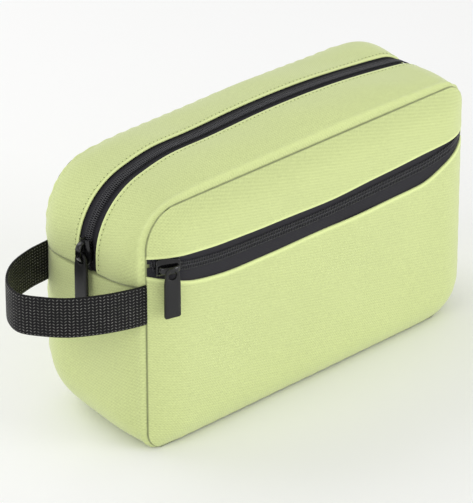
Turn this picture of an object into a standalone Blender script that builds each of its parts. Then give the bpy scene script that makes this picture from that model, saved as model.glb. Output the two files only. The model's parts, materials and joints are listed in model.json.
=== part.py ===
"""Soft zipped toiletry bag with a front zip pocket and a side loop handle, one solid for each sewn piece.

Frame: metres, +Z up, origin at the centre of the base. The front, with the pocket, faces -Y and the
handle is at -X. The two long faces are rounded panels. A band of fabric joins them round the outline:
the base band at the bottom and up both ends, and the zip strips over the top. The bag's outline exists
twice: as the seam round each face, and as the crown, the line halfway between the faces, which bulges.
"""

import math

import bmesh
import bpy
from mathutils import Matrix, Vector

# Bag, measured on the seams
SEAM_WIDTH = 0.260
SEAM_DEPTH = 0.081
SEAM_HEIGHT = 0.151
TOP_RADIUS = 0.022
BOTTOM_RADIUS = 0.013
GUSSET_HEIGHT = 0.106  # where the zip strips are sewn to the base band, at both ends

# Crown, the line over the bag halfway between its faces
CROWN_SIDE = 0.138
CROWN_BASE_RADIUS = 0.028
CROWN_LEFT_RADIUS = 0.040
CROWN_LEFT_HEIGHT = 0.1164
CROWN_RIGHT_RADIUS = 0.031
CROWN_TOP_RADIUS = 0.740
CROWN_TOP = 0.165
SWELL_POWER = 0.6  # how quickly the band falls from its crown to its seams
STRIP_ROWS = (0.0385, 0.034, 0.027, 0.018)  # distances from the middle where a zip strip has a row of points
BASE_ROWS = (0.0385, 0.034, 0.025, 0.012)

# Faces
FRONT_CROWN = 0.010
BACK_CROWN = 0.008
FACE_SHOULDER = 0.024  # how far in from its seam a face reaches its full depth
FACE_COLUMNS = 20

# Fabric
FABRIC = 0.0012
LINING = 0.0008
GAP = 0.0003
SEAM_GAP = 0.0012  # between a face and the band, where their edges are sewn together
BINDING_WIDTH = 0.008
BINDING_THICKNESS = 0.001
LINING_INSET = 0.004  # from each face seam to the edge of the lining of the base and ends

# Zips
TAPE_EDGE = 0.0056  # half the width that shows of the main zip
TAPE_THICKNESS = 0.0007
TAPE_RECESS = 0.0005  # from the top of the coils down to the tape
COIL_WIDTH = 0.0024
COIL_THICKNESS = 0.0018
COIL_SLOT = 0.0013  # between the two coils, where the slider's post runs
POCKET_ZIP_HEIGHT = 0.111
POCKET_ZIP_TOP = 0.1215
POCKET_ZIP_LOW_END = 0.1075
POCKET_ZIP_LOW_MIDDLE = 0.1005
POCKET_LIP_POWER = 6  # how late the pocket's edge turns up towards its ends
POCKET_ZIP_REACH = 0.1265  # half the length of the pocket zip
FLAP_REACH = 0.085  # half the length of the part of the mouth that folds open

# Sliders and pullers
SLIDER_LENGTH = 0.0125
SLIDER_WIDTH = 0.0084
PLATE = 0.0011
PLATE_CORNER = 0.0016
PLATE_TAPER = 0.78  # width of a slider at its tail, as a share of its nose
POST_WIDTH = 0.0006
POST_LENGTH = 0.003
UNDER_PLATE_DEPTH = 0.0027  # from the top of the coils to the plate below them
CAP_LENGTH = 0.009
CAP_WIDTH = 0.0042
CAP_HEIGHT = 0.0042
CAP_WALL = 0.001
EYE_LIFT = 0.0026  # from the top of the coils to the middle of the puller's eye
POCKET_SLIDER_X = -0.1225
PULLER_WIDTH = 0.011
PULLER_LENGTH = 0.0315
PULLER_THICKNESS = 0.0016
PULLER_CORNER = 0.0015
EYE_RADIUS = 0.0042
EYE_HOLE_RADIUS = 0.0027

# Handle, a loop of webbing at the left end
WEBBING_WIDTH = 0.025
WEBBING_THICKNESS = 0.0017
HANDLE_HEIGHT = 0.0962
HANDLE_ROUTE = (
    (-0.1342, -0.0400),
    (-0.1440, -0.0370),
    (-0.1570, -0.0315),
    (-0.1720, -0.0220),
    (-0.1820, -0.0100),
    (-0.1880, 0.0020),
    (-0.1850, 0.0140),
    (-0.1770, 0.0245),
    (-0.1640, 0.0335),
    (-0.1480, 0.0385),
    (-0.1342, 0.0400),
)

LIME = (0.66, 0.74, 0.34)
LINING_GREY = (0.30, 0.31, 0.32)
TAPE_BLACK = (0.035, 0.034, 0.038)
COIL_BLACK = (0.02, 0.02, 0.022)
SLIDER_BLACK = (0.01, 0.01, 0.011)
WEBBING_BLACK = (0.012, 0.012, 0.013)


def material(name, colour, roughness, metallic=0.0):
    """A Principled material with one colour."""
    made = bpy.data.materials.new(name)
    made.use_nodes = True
    shader = made.node_tree.nodes["Principled BSDF"]
    shader.inputs["Base Color"].default_value = (*colour, 1)
    shader.inputs["Roughness"].default_value = roughness
    shader.inputs["Metallic"].default_value = metallic
    return made


def add(collection, name, mesh, colour, roughness, metallic=0.0):
    """Puts a mesh in the scene as one named sub-part."""
    piece = bpy.data.objects.new(name, mesh)
    collection.objects.link(piece)
    mesh.materials.append(material(name, colour, roughness, metallic))
    return piece


def arc(centre, radius, start, end, count):
    """Points on a circle from one angle to the other, in degrees, both ends included."""
    angles = [math.radians(start + (end - start) * i / count) for i in range(count + 1)]
    return [(centre[0] + radius * math.cos(a), centre[1] + radius * math.sin(a)) for a in angles]


def line(start, end, count):
    """Evenly spaced points from start to end, both included."""
    steps = [i / count for i in range(count + 1)]
    return [(start[0] + (end[0] - start[0]) * s, start[1] + (end[1] - start[1]) * s) for s in steps]


def crown_top():
    """Centre of the big top arc, and the centre of the right corner's arc that touches it."""
    centre_z = CROWN_TOP - CROWN_TOP_RADIUS
    left_x = CROWN_LEFT_RADIUS - CROWN_SIDE
    reach = CROWN_TOP_RADIUS - CROWN_LEFT_RADIUS
    centre_x = left_x + math.sqrt(reach**2 - (CROWN_LEFT_HEIGHT - centre_z) ** 2)
    right_x = CROWN_SIDE - CROWN_RIGHT_RADIUS
    reach = CROWN_TOP_RADIUS - CROWN_RIGHT_RADIUS
    right_z = centre_z + math.sqrt(reach**2 - (right_x - centre_x) ** 2)
    return (centre_x, centre_z), (left_x, CROWN_LEFT_HEIGHT), (right_x, right_z)


def on_top_arc(x):
    """The point of the top arc at a given x."""
    (centre_x, centre_z), _, _ = crown_top()
    return (x, centre_z + math.sqrt(CROWN_TOP_RADIUS**2 - (x - centre_x) ** 2))


def top_line(start_x, end_x, count):
    """Seam and crown points along the straight top."""
    seam = line((start_x[0], SEAM_HEIGHT), (end_x[0], SEAM_HEIGHT), count)
    crown = [on_top_arc(x) for x, _ in line((start_x[1], 0), (end_x[1], 0), count)]
    return list(zip(seam, crown, strict=True))


def left_strip_ring():
    """Stations from the left gusset seam, up and round the left corner, to the flap."""
    half = SEAM_WIDTH / 2
    corner = (TOP_RADIUS - half, SEAM_HEIGHT - TOP_RADIUS)
    (top_x, top_z), left, _ = crown_top()
    tilt = math.degrees(math.atan2(top_x - left[0], left[1] - top_z))
    rise = list(
        zip(
            line((-half, GUSSET_HEIGHT + GAP), (-half, corner[1]), 2),
            line((-CROWN_SIDE, GUSSET_HEIGHT + GAP), (-CROWN_SIDE, left[1]), 2),
            strict=True,
        )
    )
    turn = list(
        zip(
            arc(corner, TOP_RADIUS, 180, 90, 7),
            arc(left, CROWN_LEFT_RADIUS, 180, 90 + tilt, 7),
            strict=True,
        )
    )
    run = top_line((corner[0], turn[-1][1][0]), (-FLAP_REACH - GAP, -FLAP_REACH - GAP), 2)
    return rise + turn[1:] + run[1:]


def right_strip_ring():
    """Stations from the flap, round the right corner and down to the right gusset seam."""
    half = SEAM_WIDTH / 2
    corner = (half - TOP_RADIUS, SEAM_HEIGHT - TOP_RADIUS)
    (top_x, top_z), _, right = crown_top()
    tilt = math.degrees(math.atan2(right[0] - top_x, right[1] - top_z))
    turn = list(
        zip(
            arc(corner, TOP_RADIUS, 90, 0, 7),
            arc(right, CROWN_RIGHT_RADIUS, 90 - tilt, 0, 7),
            strict=True,
        )
    )
    run = top_line((FLAP_REACH + GAP, FLAP_REACH + GAP), (corner[0], turn[0][1][0]), 2)
    drop = list(
        zip(
            line((half, corner[1]), (half, GUSSET_HEIGHT + GAP), 2),
            line((CROWN_SIDE, right[1]), (CROWN_SIDE, GUSSET_HEIGHT + GAP), 2),
            strict=True,
        )
    )
    return run + turn[1:] + drop[1:]


def flap_ring():
    """Stations along the part of the top that folds open."""
    return top_line((-FLAP_REACH, -FLAP_REACH), (FLAP_REACH, FLAP_REACH), 10)


def base_ring():
    """Stations down the left end, under the base and up the right end."""
    half = SEAM_WIDTH / 2
    low = BOTTOM_RADIUS
    side = CROWN_SIDE
    crown = CROWN_BASE_RADIUS
    corner_x = half - low
    crown_x = side - crown
    left = [
        (line((-half, GUSSET_HEIGHT), (-half, low), 4), line((-side, GUSSET_HEIGHT), (-side, crown), 4)),
        (arc((-corner_x, low), low, 180, 270, 4), arc((-crown_x, crown), crown, 180, 270, 4)),
    ]
    floor = [(line((-corner_x, 0), (corner_x, 0), 2), line((-crown_x, 0), (crown_x, 0), 2))]
    right = [
        (arc((corner_x, low), low, 270, 360, 4), arc((crown_x, crown), crown, 270, 360, 4)),
        (line((half, low), (half, GUSSET_HEIGHT), 4), line((side, crown), (side, GUSSET_HEIGHT), 4)),
    ]
    stations = []
    for seam, crown_line in left + floor + right:
        stations += list(zip(seam, crown_line, strict=True))[1 if stations else 0 :]
    return stations


def swell(y):
    """How far the band has bulged from seam to crown at y: 1 at the zip, falling to 0 at the seams."""
    across = max(0.0, (abs(y) - TAPE_EDGE) / (SEAM_DEPTH / 2 - TAPE_EDGE))
    return max(0.0, 1 - across**2) ** SWELL_POWER


def surface(name, columns, rows, place):
    """An open grid whose vertices place() puts in space from two numbers between 0 and 1."""
    work = bmesh.new()
    bmesh.ops.create_grid(work, x_segments=columns, y_segments=rows, size=0.5)
    for vertex in work.verts:
        vertex.co = place(vertex.co.x + 0.5, vertex.co.y + 0.5)
    mesh = bpy.data.meshes.new(name)
    work.to_mesh(mesh)
    work.free()
    return mesh


def thicken(piece, thickness):
    """Gives an open surface its thickness, inwards from the outer face."""
    shell = piece.modifiers.new("Thickness", "SOLIDIFY")
    shell.thickness = thickness
    shell.offset = -1
    shell.use_even_offset = False
    return piece


def band_patch(collection, name, stations, y_values, thickness, colour, depth=0.0, flip=False):
    """A patch of the band over the given stations and y values, set in by depth from the surface."""

    def place(u, v):
        (seam_x, seam_z), (crown_x, crown_z) = stations[round(u * (len(stations) - 1))]
        y = y_values[round(v * (len(y_values) - 1))]
        amount = swell(y)
        return Vector((seam_x + (crown_x - seam_x) * amount, y, seam_z + (crown_z - seam_z) * amount))

    mesh = surface(name, len(stations) - 1, len(y_values) - 1, place)
    if flip:
        mesh.flip_normals()
    if depth:
        mesh.update()
        normals = [v.normal.copy() for v in mesh.vertices]
        for vertex, normal in zip(mesh.vertices, normals, strict=True):
            vertex.co -= normal * depth
    return thicken(add(collection, name, mesh, colour, 0.8), thickness)


def strips(collection, side, name):
    """The zip strip, tape and coil on one side of the main zip, each in three stretches."""
    seam = SEAM_DEPTH / 2 - SEAM_GAP / 2
    fabric_y = [side * y for y in (seam, *STRIP_ROWS, TAPE_EDGE + GAP)]
    tape_y = [side * TAPE_EDGE, side * (COIL_SLOT / 2 + COIL_WIDTH + GAP)]
    coil_y = [side * (COIL_SLOT / 2 + COIL_WIDTH), side * COIL_SLOT / 2]
    rings = {"left": left_strip_ring(), "flap": flap_ring(), "right": right_strip_ring()}
    layers = (
        ("strip", fabric_y, FABRIC, LIME, 0),
        ("tape", tape_y, TAPE_THICKNESS, TAPE_BLACK, TAPE_RECESS),
        ("coil", coil_y, COIL_THICKNESS, COIL_BLACK, 0),
    )
    for part, ring in rings.items():
        for layer, y_values, thickness, colour, depth in layers:
            node = f"{name}_zip_{layer}_{part}"
            band_patch(collection, node, ring, y_values, thickness, colour, depth, side > 0)


def base_band(collection):
    """The bottom and both ends, one strip of fabric, flat under the base."""
    seam = SEAM_DEPTH / 2 - SEAM_GAP / 2
    half = [seam, *BASE_ROWS]
    y_values = [-y for y in half] + [0.0] + half[::-1]
    return band_patch(collection, "base_band", base_ring(), y_values, FABRIC, LIME, flip=True)


def band_lining(collection):
    """The lining of the base and ends, a plain strip inside the seams."""
    inset = FABRIC + 2 * GAP
    radius = CROWN_BASE_RADIUS - inset
    half = SEAM_WIDTH / 2 - inset
    corner = half - radius
    stations = line((-half, GUSSET_HEIGHT), (-half, CROWN_BASE_RADIUS), 4)
    stations += arc((-corner, CROWN_BASE_RADIUS), radius, 180, 270, 4)[1:]
    stations += arc((corner, CROWN_BASE_RADIUS), radius, 270, 360, 4)
    stations += line((half, CROWN_BASE_RADIUS), (half, GUSSET_HEIGHT), 4)[1:]
    reach = SEAM_DEPTH / 2 - LINING_INSET

    def place(u, v):
        x, z = stations[round(u * (len(stations) - 1))]
        return Vector((x, reach * (2 * v - 1), z))

    mesh = surface("band_lining", len(stations) - 1, 1, place)
    mesh.flip_normals()
    return thicken(add(collection, "band_lining", mesh, LINING_GREY, 0.6), LINING)


def inside_distance(x, z):
    """How far a point of a face lies inside its rounded outline."""
    radius = TOP_RADIUS if z > SEAM_HEIGHT / 2 else BOTTOM_RADIUS
    across = abs(x) - (SEAM_WIDTH / 2 - radius)
    up = abs(z - SEAM_HEIGHT / 2) - (SEAM_HEIGHT / 2 - radius)
    outside = math.hypot(max(across, 0), max(up, 0)) + min(max(across, up), 0)
    return max(0.0, radius - outside)


def half_width(z):
    """Half the width of a face at height z."""
    half = SEAM_WIDTH / 2
    for radius, from_edge in ((BOTTOM_RADIUS, z), (TOP_RADIUS, SEAM_HEIGHT - z)):
        if from_edge < radius:
            half = SEAM_WIDTH / 2 - radius + math.sqrt(max(0, radius**2 - (radius - from_edge) ** 2))
    return half


def face_depth(x, z, crown):
    """How far a face stands out from its seam: a quarter ellipse, then flat."""
    rise = min(1.0, inside_distance(x, z) / FACE_SHOULDER)
    return crown * math.sqrt(max(0.0, 1 - (1 - rise) ** 2))


def eased(count):
    """Fractions from 0 to 1, closer together at both ends."""
    return [0.5 - 0.5 * math.cos(math.pi * i / count) for i in range(count + 1)]


def face_patch(collection, name, side, low, high, crown, heights):
    """A patch of a face between two heights, each a function of u from -1 to 1 across the face."""
    columns = FACE_COLUMNS
    across = eased(columns)

    def place(u, v):
        s = 2 * across[round(u * columns)] - 1
        t = heights[round(v * (len(heights) - 1))]
        z = low(s) + (high(s) - low(s)) * t
        x = s * half_width(z)
        return Vector((x, side * (SEAM_DEPTH / 2 + SEAM_GAP / 2 + face_depth(x, z, crown)), z))

    mesh = surface(name, columns, len(heights) - 1, place)
    if side > 0:
        mesh.flip_normals()
    return thicken(add(collection, name, mesh, LIME, 0.8), FABRIC)


def pocket_lip(s):
    """Height of the pocket's upper edge, which bows down in the middle."""
    return POCKET_ZIP_LOW_MIDDLE + (POCKET_ZIP_LOW_END - POCKET_ZIP_LOW_MIDDLE) * abs(s) ** POCKET_LIP_POWER


def faces(collection):
    """Back panel, front yoke and pocket panel."""
    edge = [0, 0.02, 0.05, 0.1, 0.17, 0.35, 0.6, 0.83, 0.9, 0.95, 0.98, 1]
    face_patch(collection, "back_panel", 1, lambda s: 0.0, lambda s: SEAM_HEIGHT, BACK_CROWN, edge)
    pocket_edge = [0, 0.03, 0.08, 0.15, 0.25, 0.5, 0.75, 1]
    face_patch(collection, "pocket_panel", -1, lambda s: 0.0, pocket_lip, FRONT_CROWN, pocket_edge)
    yoke_edge = [0, 0.25, 0.5, 0.75, 0.9, 1]
    face_patch(
        collection,
        "front_yoke",
        -1,
        lambda s: POCKET_ZIP_TOP,
        lambda s: SEAM_HEIGHT,
        FRONT_CROWN,
        yoke_edge,
    )


def pocket_zip_strip(collection, name, low, high, thickness, colour, depth):
    """A straight strip of the pocket zip on the front face, from height low to height high."""

    def place(u, v):
        x = POCKET_ZIP_REACH * (2 * u - 1)
        s = x / (SEAM_WIDTH / 2)
        z = low(s) + (high(s) - low(s)) * v
        return Vector((x, -(SEAM_DEPTH / 2 + FRONT_CROWN - depth), z))

    mesh = surface(name, 16, 1, place)
    return thicken(add(collection, name, mesh, colour, 0.7), thickness)


def pocket_zip(collection):
    """Both tapes and both coils of the pocket zip."""
    inner = COIL_SLOT / 2
    outer = inner + COIL_WIDTH
    middle = POCKET_ZIP_HEIGHT
    tape = ("pocket_zip_tape_upper", lambda s: middle + outer + GAP, lambda s: POCKET_ZIP_TOP - GAP)
    pocket_zip_strip(collection, *tape, TAPE_THICKNESS, TAPE_BLACK, TAPE_RECESS)
    tape = ("pocket_zip_tape_lower", lambda s: pocket_lip(s) + GAP, lambda s: middle - outer - GAP)
    pocket_zip_strip(collection, *tape, TAPE_THICKNESS, TAPE_BLACK, TAPE_RECESS)
    coil = ("pocket_zip_coil_upper", lambda s: middle + inner, lambda s: middle + outer)
    pocket_zip_strip(collection, *coil, COIL_THICKNESS, COIL_BLACK, 0)
    coil = ("pocket_zip_coil_lower", lambda s: middle - outer, lambda s: middle - inner)
    pocket_zip_strip(collection, *coil, COIL_THICKNESS, COIL_BLACK, 0)


def outline_slab(collection, name, y_low, y_high, inset, colour, hole=0.0):
    """A flat slab of the face's outline, set in all round, with a hole that leaves a border."""
    curve = bpy.data.curves.new(name, "CURVE")
    curve.dimensions = "2D"
    curve.fill_mode = "BOTH"
    curve.extrude = (y_high - y_low) / 2
    curve.resolution_u = 1
    for shrink in (inset, inset + hole) if hole else (inset,):
        half = SEAM_WIDTH / 2
        top = max(TOP_RADIUS - shrink, 0.004)
        low = max(BOTTOM_RADIUS - shrink, 0.004)
        right = half - shrink
        points = arc((right - low, shrink + low), low, 270, 360, 5)
        points += arc((right - top, SEAM_HEIGHT - shrink - top), top, 0, 90, 6)
        points += arc((top - right, SEAM_HEIGHT - shrink - top), top, 90, 180, 6)
        points += arc((low - right, shrink + low), low, 180, 270, 5)
        spline = curve.splines.new("POLY")
        spline.points.add(len(points) - 1)
        for point, (x, z) in zip(spline.points, points, strict=True):
            point.co = (x, z, 0, 1)
        spline.use_cyclic_u = True
    guide = bpy.data.objects.new(name + "_guide", curve)
    collection.objects.link(guide)
    bpy.context.view_layer.update()
    mesh = bpy.data.meshes.new_from_object(guide.evaluated_get(bpy.context.evaluated_depsgraph_get()))
    bpy.data.objects.remove(guide)
    upright = Matrix.Translation((0, (y_low + y_high) / 2, 0)) @ Matrix.Rotation(math.pi / 2, 4, "X")
    mesh.transform(upright)
    work = bmesh.new()
    work.from_mesh(mesh)
    bmesh.ops.remove_doubles(work, verts=work.verts, dist=1e-6)
    bmesh.ops.recalc_face_normals(work, faces=work.faces)
    work.to_mesh(mesh)
    work.free()
    mesh.name = name
    return add(collection, name, mesh, colour, 0.6)


def linings(collection):
    """The pocket's inner wall, the back lining, and the tape that binds each seam inside."""
    wall = -SEAM_DEPTH / 2 + GAP
    inset = FABRIC + 2 * GAP
    outline_slab(collection, "pocket_inner_wall", wall, wall + LINING, inset, LINING_GREY)
    outline_slab(collection, "back_lining", -wall - LINING, -wall, inset, LINING_GREY)
    clear = inset + LINING + 2 * GAP
    bound = wall + LINING + GAP
    far = bound + BINDING_THICKNESS
    outline_slab(
        collection, "front_seam_binding", bound, far, clear, TAPE_BLACK, BINDING_WIDTH
    )
    outline_slab(
        collection, "back_seam_binding", -far, -bound, clear, TAPE_BLACK, BINDING_WIDTH
    )


def box(work, low, high):
    """A box between two corners, added to the bmesh."""
    size = [end - start for start, end in zip(low, high, strict=True)]
    centre = [(end + start) / 2 for start, end in zip(low, high, strict=True)]
    matrix = Matrix.Translation(centre) @ Matrix.Diagonal((*size, 1))
    return bmesh.ops.create_cube(work, size=1, matrix=matrix)["verts"]


def slider_body():
    """Two plates joined by a post, along +X with its outer face at +Z, on the coils' top at z = 0."""
    work = bmesh.new()
    length, width = SLIDER_LENGTH / 2, SLIDER_WIDTH / 2
    lower = box(work, (-length, -width, -UNDER_PLATE_DEPTH - PLATE), (length, width, -UNDER_PLATE_DEPTH))
    upper = box(work, (-length, -width, GAP), (length, width, GAP + PLATE))
    for vertex in lower + upper:
        if vertex.co.x < 0:
            vertex.co.y *= PLATE_TAPER
    edges = [e for e in work.edges if abs(e.verts[0].co.z - e.verts[1].co.z) > 1e-5]
    bmesh.ops.bevel(work, geom=edges, offset=PLATE_CORNER, segments=3, affect="EDGES", profile=0.5)
    mesh = bpy.data.meshes.new("slider_body")
    work.to_mesh(mesh)
    work.free()
    return mesh


def slider_post():
    """The post between the plates, long enough to sink into both."""
    work = bmesh.new()
    end = SLIDER_LENGTH / 2 - 0.001
    sink = PLATE / 2
    low = (end - POST_LENGTH, -POST_WIDTH / 2, -UNDER_PLATE_DEPTH - sink)
    box(work, low, (end, POST_WIDTH / 2, GAP + sink))
    mesh = bpy.data.meshes.new("slider_post")
    work.to_mesh(mesh)
    work.free()
    return mesh


def slider_cap():
    """The arched cap over the slider: a strap along X that bows up, open below for the puller's eye."""
    base = GAP * 2 + PLATE
    rise = CAP_HEIGHT

    def place(u, v):
        angle = math.pi * (1 - u)
        x = CAP_LENGTH / 2 * math.cos(angle)
        z = base + rise * math.sin(angle) ** 0.7
        y = CAP_WIDTH / 2 * (2 * v - 1) * (0.75 + 0.25 * math.sin(angle))
        return Vector((x, y, z))

    return surface("slider_cap", 14, 4, place)


def puller():
    """A flat tab that hangs along -Z from an eye centred on the origin, its face towards -Y."""
    work = bmesh.new()
    shoulder = EYE_RADIUS + PULLER_CORNER
    half = PULLER_WIDTH / 2
    low = EYE_RADIUS - PULLER_LENGTH
    corner = PULLER_CORNER
    outline = arc((0, 0), EYE_RADIUS, -20, 200, 12)
    outline += [(-half, -shoulder)]
    outline += arc((corner - half, low + corner), corner, 180, 270, 3)
    outline += arc((half - corner, low + corner), corner, 270, 360, 3)
    outline += [(half, -shoulder)]
    depth = PULLER_THICKNESS / 2
    ring = [work.verts.new((x, -depth, z)) for x, z in outline]
    hole = [work.verts.new((x, -depth, z)) for x, z in arc((0, 0), EYE_HOLE_RADIUS, 0, 345, 23)]
    edges = [work.edges.new((loop[i - 1], loop[i])) for loop in (ring, hole) for i in range(len(loop))]
    bmesh.ops.triangle_fill(work, edges=edges, use_beauty=True)
    front = list(work.faces)
    bmesh.ops.recalc_face_normals(work, faces=front)
    if front[0].normal.y > 0:
        bmesh.ops.reverse_faces(work, faces=front)
    mesh = bpy.data.meshes.new("puller")
    work.to_mesh(mesh)
    work.free()
    return mesh


def slider(collection, cutters, name, matrix, puller_matrix):
    """A slider's body with its post, its cap and its puller, placed by two matrices."""
    body = add(collection, f"{name}_slider_body", slider_body(), SLIDER_BLACK, 0.2, 0.6)
    body.matrix_world = matrix
    post = add(cutters, f"{name}_slider_post", slider_post(), SLIDER_BLACK, 0.2, 0.6)
    post.matrix_world = matrix
    post.hide_render = True
    post.display_type = "WIRE"
    union = body.modifiers.new("Post", "BOOLEAN")
    union.operation = "UNION"
    union.object = post
    union.solver = "EXACT"
    union.use_self = True
    cap = thicken(add(collection, f"{name}_slider_cap", slider_cap(), SLIDER_BLACK, 0.15, 0.6), CAP_WALL)
    cap.matrix_world = matrix
    tab = thicken(add(collection, f"{name}_puller", puller(), SLIDER_BLACK, 0.35, 0.6), PULLER_THICKNESS)
    tab.matrix_world = puller_matrix


def sliders(collection, cutters):
    """The pocket zip's slider on the front face and the main zip's slider at the left end.

    Both noses point to the closed end of their zip. The main puller's eye turns on its own top edge,
    under the middle of the cap. The pocket puller hangs across its zip, from the tail leg of the cap.
    """
    face = -(SEAM_DEPTH / 2 + FRONT_CROWN)
    facing_front = Matrix(((-1, 0, 0, 0), (0, 0, -1, 0), (0, -1, 0, 0), (0, 0, 0, 1)))
    middle = Vector((POCKET_SLIDER_X, face, POCKET_ZIP_HEIGHT))
    tail_leg = CAP_LENGTH / 2 - CAP_WALL / 2
    hang = Matrix.Translation(middle + Vector((tail_leg, -EYE_LIFT, 0)))
    slider(collection, cutters, "pocket", Matrix.Translation(middle) @ facing_front, hang)
    facing_left = Matrix(((0, 0, -1, 0), (0, -1, 0, 0), (-1, 0, 0, 0), (0, 0, 0, 1)))
    middle = Vector((-CROWN_SIDE, 0, CROWN_LEFT_HEIGHT))
    top_edge = (EYE_RADIUS + EYE_HOLE_RADIUS) / 2
    hang = Matrix.Translation(middle + Vector((-EYE_LIFT, 0, -top_edge)))
    hang = hang @ Matrix.Rotation(-math.pi / 2, 4, "Z")
    slider(collection, cutters, "main", Matrix.Translation(middle) @ facing_left, hang)


def smooth_route(points, count):
    """Evenly many points on a smooth curve through the given ones, by Catmull-Rom spans."""
    ends = [points[0]] + list(points) + [points[-1]]
    route = []
    for a, b, c, d in zip(ends, ends[1:], ends[2:], ends[3:], strict=False):
        for i in range(count):
            t = i / count
            route.append(
                tuple(
                    0.5
                    * (
                        2 * q
                        + (r - p) * t
                        + (2 * p - 5 * q + 4 * r - s) * t * t
                        + (3 * q - p - 3 * r + s) * t**3
                    )
                    for p, q, r, s in zip(a, b, c, d, strict=True)
                )
            )
    return route + [points[-1]]


def handle(collection):
    """The webbing loop, its ends rounded about the line that it tilts on."""
    route = smooth_route(HANDLE_ROUTE, 3)
    along = [0.0]
    for a, b in zip(route, route[1:], strict=False):
        along.append(along[-1] + math.dist(a, b))
    radius = WEBBING_WIDTH / 2

    def place(u, v):
        i = round(u * (len(route) - 1))
        from_end = min(along[i], along[-1] - along[i], radius) + 0.001
        half = math.sqrt(max(0, radius**2 - max(0, radius - from_end) ** 2))
        return Vector((*route[i], HANDLE_HEIGHT + half * (2 * v - 1)))

    mesh = surface("handle_webbing", len(route) - 1, 2, place)
    mesh.flip_normals()
    piece = thicken(add(collection, "handle_webbing", mesh, WEBBING_BLACK, 0.8), WEBBING_THICKNESS)
    piece.modifiers["Thickness"].offset = 0


def collection_named(name):
    """A new collection in the scene."""
    made = bpy.data.collections.new(name)
    bpy.context.scene.collection.children.link(made)
    return made


def main():
    """Builds the whole bag."""
    for old in list(bpy.data.objects):
        bpy.data.objects.remove(old, do_unlink=True)
    bag = collection_named("toiletry_bag")
    cutters = collection_named("cutters")
    cutters.hide_render = True
    faces(bag)
    base_band(bag)
    strips(bag, -1, "front")
    strips(bag, 1, "back")
    pocket_zip(bag)
    band_lining(bag)
    linings(bag)
    sliders(bag, cutters)
    handle(bag)


main()
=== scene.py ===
"""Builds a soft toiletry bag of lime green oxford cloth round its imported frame: two crowned faces, a base
band, zip strips over an arched mouth, two coil zips with their sliders, a webbing handle and a lining.

Every surface is a function of two numbers. Along a band the first is the length along its crown and the
second is y, from the front seam to the back seam. On a face they are the share of the width and the height.
"""

import json
import math

import bpy
import numpy as np
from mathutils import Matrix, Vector


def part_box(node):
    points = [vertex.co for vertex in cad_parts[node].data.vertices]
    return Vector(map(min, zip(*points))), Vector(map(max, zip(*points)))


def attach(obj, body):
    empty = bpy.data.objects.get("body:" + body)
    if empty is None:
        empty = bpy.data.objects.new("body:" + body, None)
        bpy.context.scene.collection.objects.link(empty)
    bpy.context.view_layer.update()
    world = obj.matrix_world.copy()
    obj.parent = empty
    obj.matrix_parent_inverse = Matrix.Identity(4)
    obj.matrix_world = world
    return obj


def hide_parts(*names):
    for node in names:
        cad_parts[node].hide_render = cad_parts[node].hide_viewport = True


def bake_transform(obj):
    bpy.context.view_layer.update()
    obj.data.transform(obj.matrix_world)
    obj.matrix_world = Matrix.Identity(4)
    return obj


bl_info = {
    "name": "Toiletry Bag",
    "version": (1, 0, 0),
    "blender": (4, 5, 0),
    "location": "View3D > Sidebar > Bag",
    "description": "A zipped toiletry bag built round its frame",
    "category": "Add Mesh",
}

MM = 0.001
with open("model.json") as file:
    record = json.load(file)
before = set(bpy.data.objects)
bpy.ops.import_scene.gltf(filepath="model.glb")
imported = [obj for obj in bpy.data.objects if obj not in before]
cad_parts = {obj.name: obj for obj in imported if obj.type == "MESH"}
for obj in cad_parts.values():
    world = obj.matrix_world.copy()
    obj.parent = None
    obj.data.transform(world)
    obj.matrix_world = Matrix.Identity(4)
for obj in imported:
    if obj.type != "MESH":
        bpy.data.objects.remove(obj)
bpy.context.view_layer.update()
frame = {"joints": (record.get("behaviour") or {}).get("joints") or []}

# Places that come from the frame
HALF_WIDTH, _, SEAM_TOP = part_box("back_panel")[1]
CROWN_SIDE, BAND_SIDE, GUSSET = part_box("base_band")[1]
CROWN_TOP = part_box("front_zip_strip_flap")[1][2]
SEAM_Y = BAND_SIDE + 0.6 * MM
POCKET_ZIP_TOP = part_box("front_yoke")[0][2]
POCKET_ZIP_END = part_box("pocket_panel")[1][2]
JOINTS = {joint["name"]: joint for joint in frame["joints"]}

# The back seam stands further out than the front one and is shorter at both ends
BACK_Y = SEAM_Y + 5.1 * MM
BACK_HALF_WIDTH = HALF_WIDTH - 5 * MM

# Corner radii, each as (left, right): tight at the front, soft at the back
TOP_RADII = {"front": (22 * MM, 12 * MM), "back": (30 * MM, 24 * MM)}
LOW_RADII = {"front": (13 * MM, 27 * MM), "back": (44 * MM, 44 * MM)}
CROWN_LOW_RADII = {"front": (17 * MM, 26 * MM), "back": (43 * MM, 43 * MM)}
CROWN_LEFT_RADIUS = 40 * MM
CROWN_RIGHT_RADIUS = 31 * MM
CROWN_TOP_RADIUS = 740 * MM
CROWN_LEFT_Z = 116.4 * MM
SHOULDER_LIFT = 3 * MM

# Swells, each in height and then in place or reach: the roll beside a seam, the pinch at the gusset seams,
# the fuller right back shoulder, and the rise of a face from its ends, its base and its top
ROLL, ROLL_PLACE, ROLL_WIDTH = 1.0 * MM, 2.6 * MM, 1.6 * MM
PINCH, PINCH_WIDTH = 0.8 * MM, 2.2 * MM
SHOULDER, SHOULDER_PLACE, SHOULDER_WIDTH = 3.8 * MM, 114 * MM, 24 * MM
END_REACH, BASE_REACH, TOP_REACH = 26 * MM, 22 * MM, 19 * MM
PILLOW = 0.8 * MM

# Cloth: thicknesses, the radius of a folded hem, the cloth turned in at a seam, the gap at it, and the width
# of its painted shade
CLOTH = 0.45 * MM
LINING = 0.25 * MM
TAPE = 0.5 * MM
FOLD_RADIUS = 0.55 * MM
ALLOWANCE = 3 * MM
SEAM_GAP = 0.18 * MM
CREASE = 0.4 * MM

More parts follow.
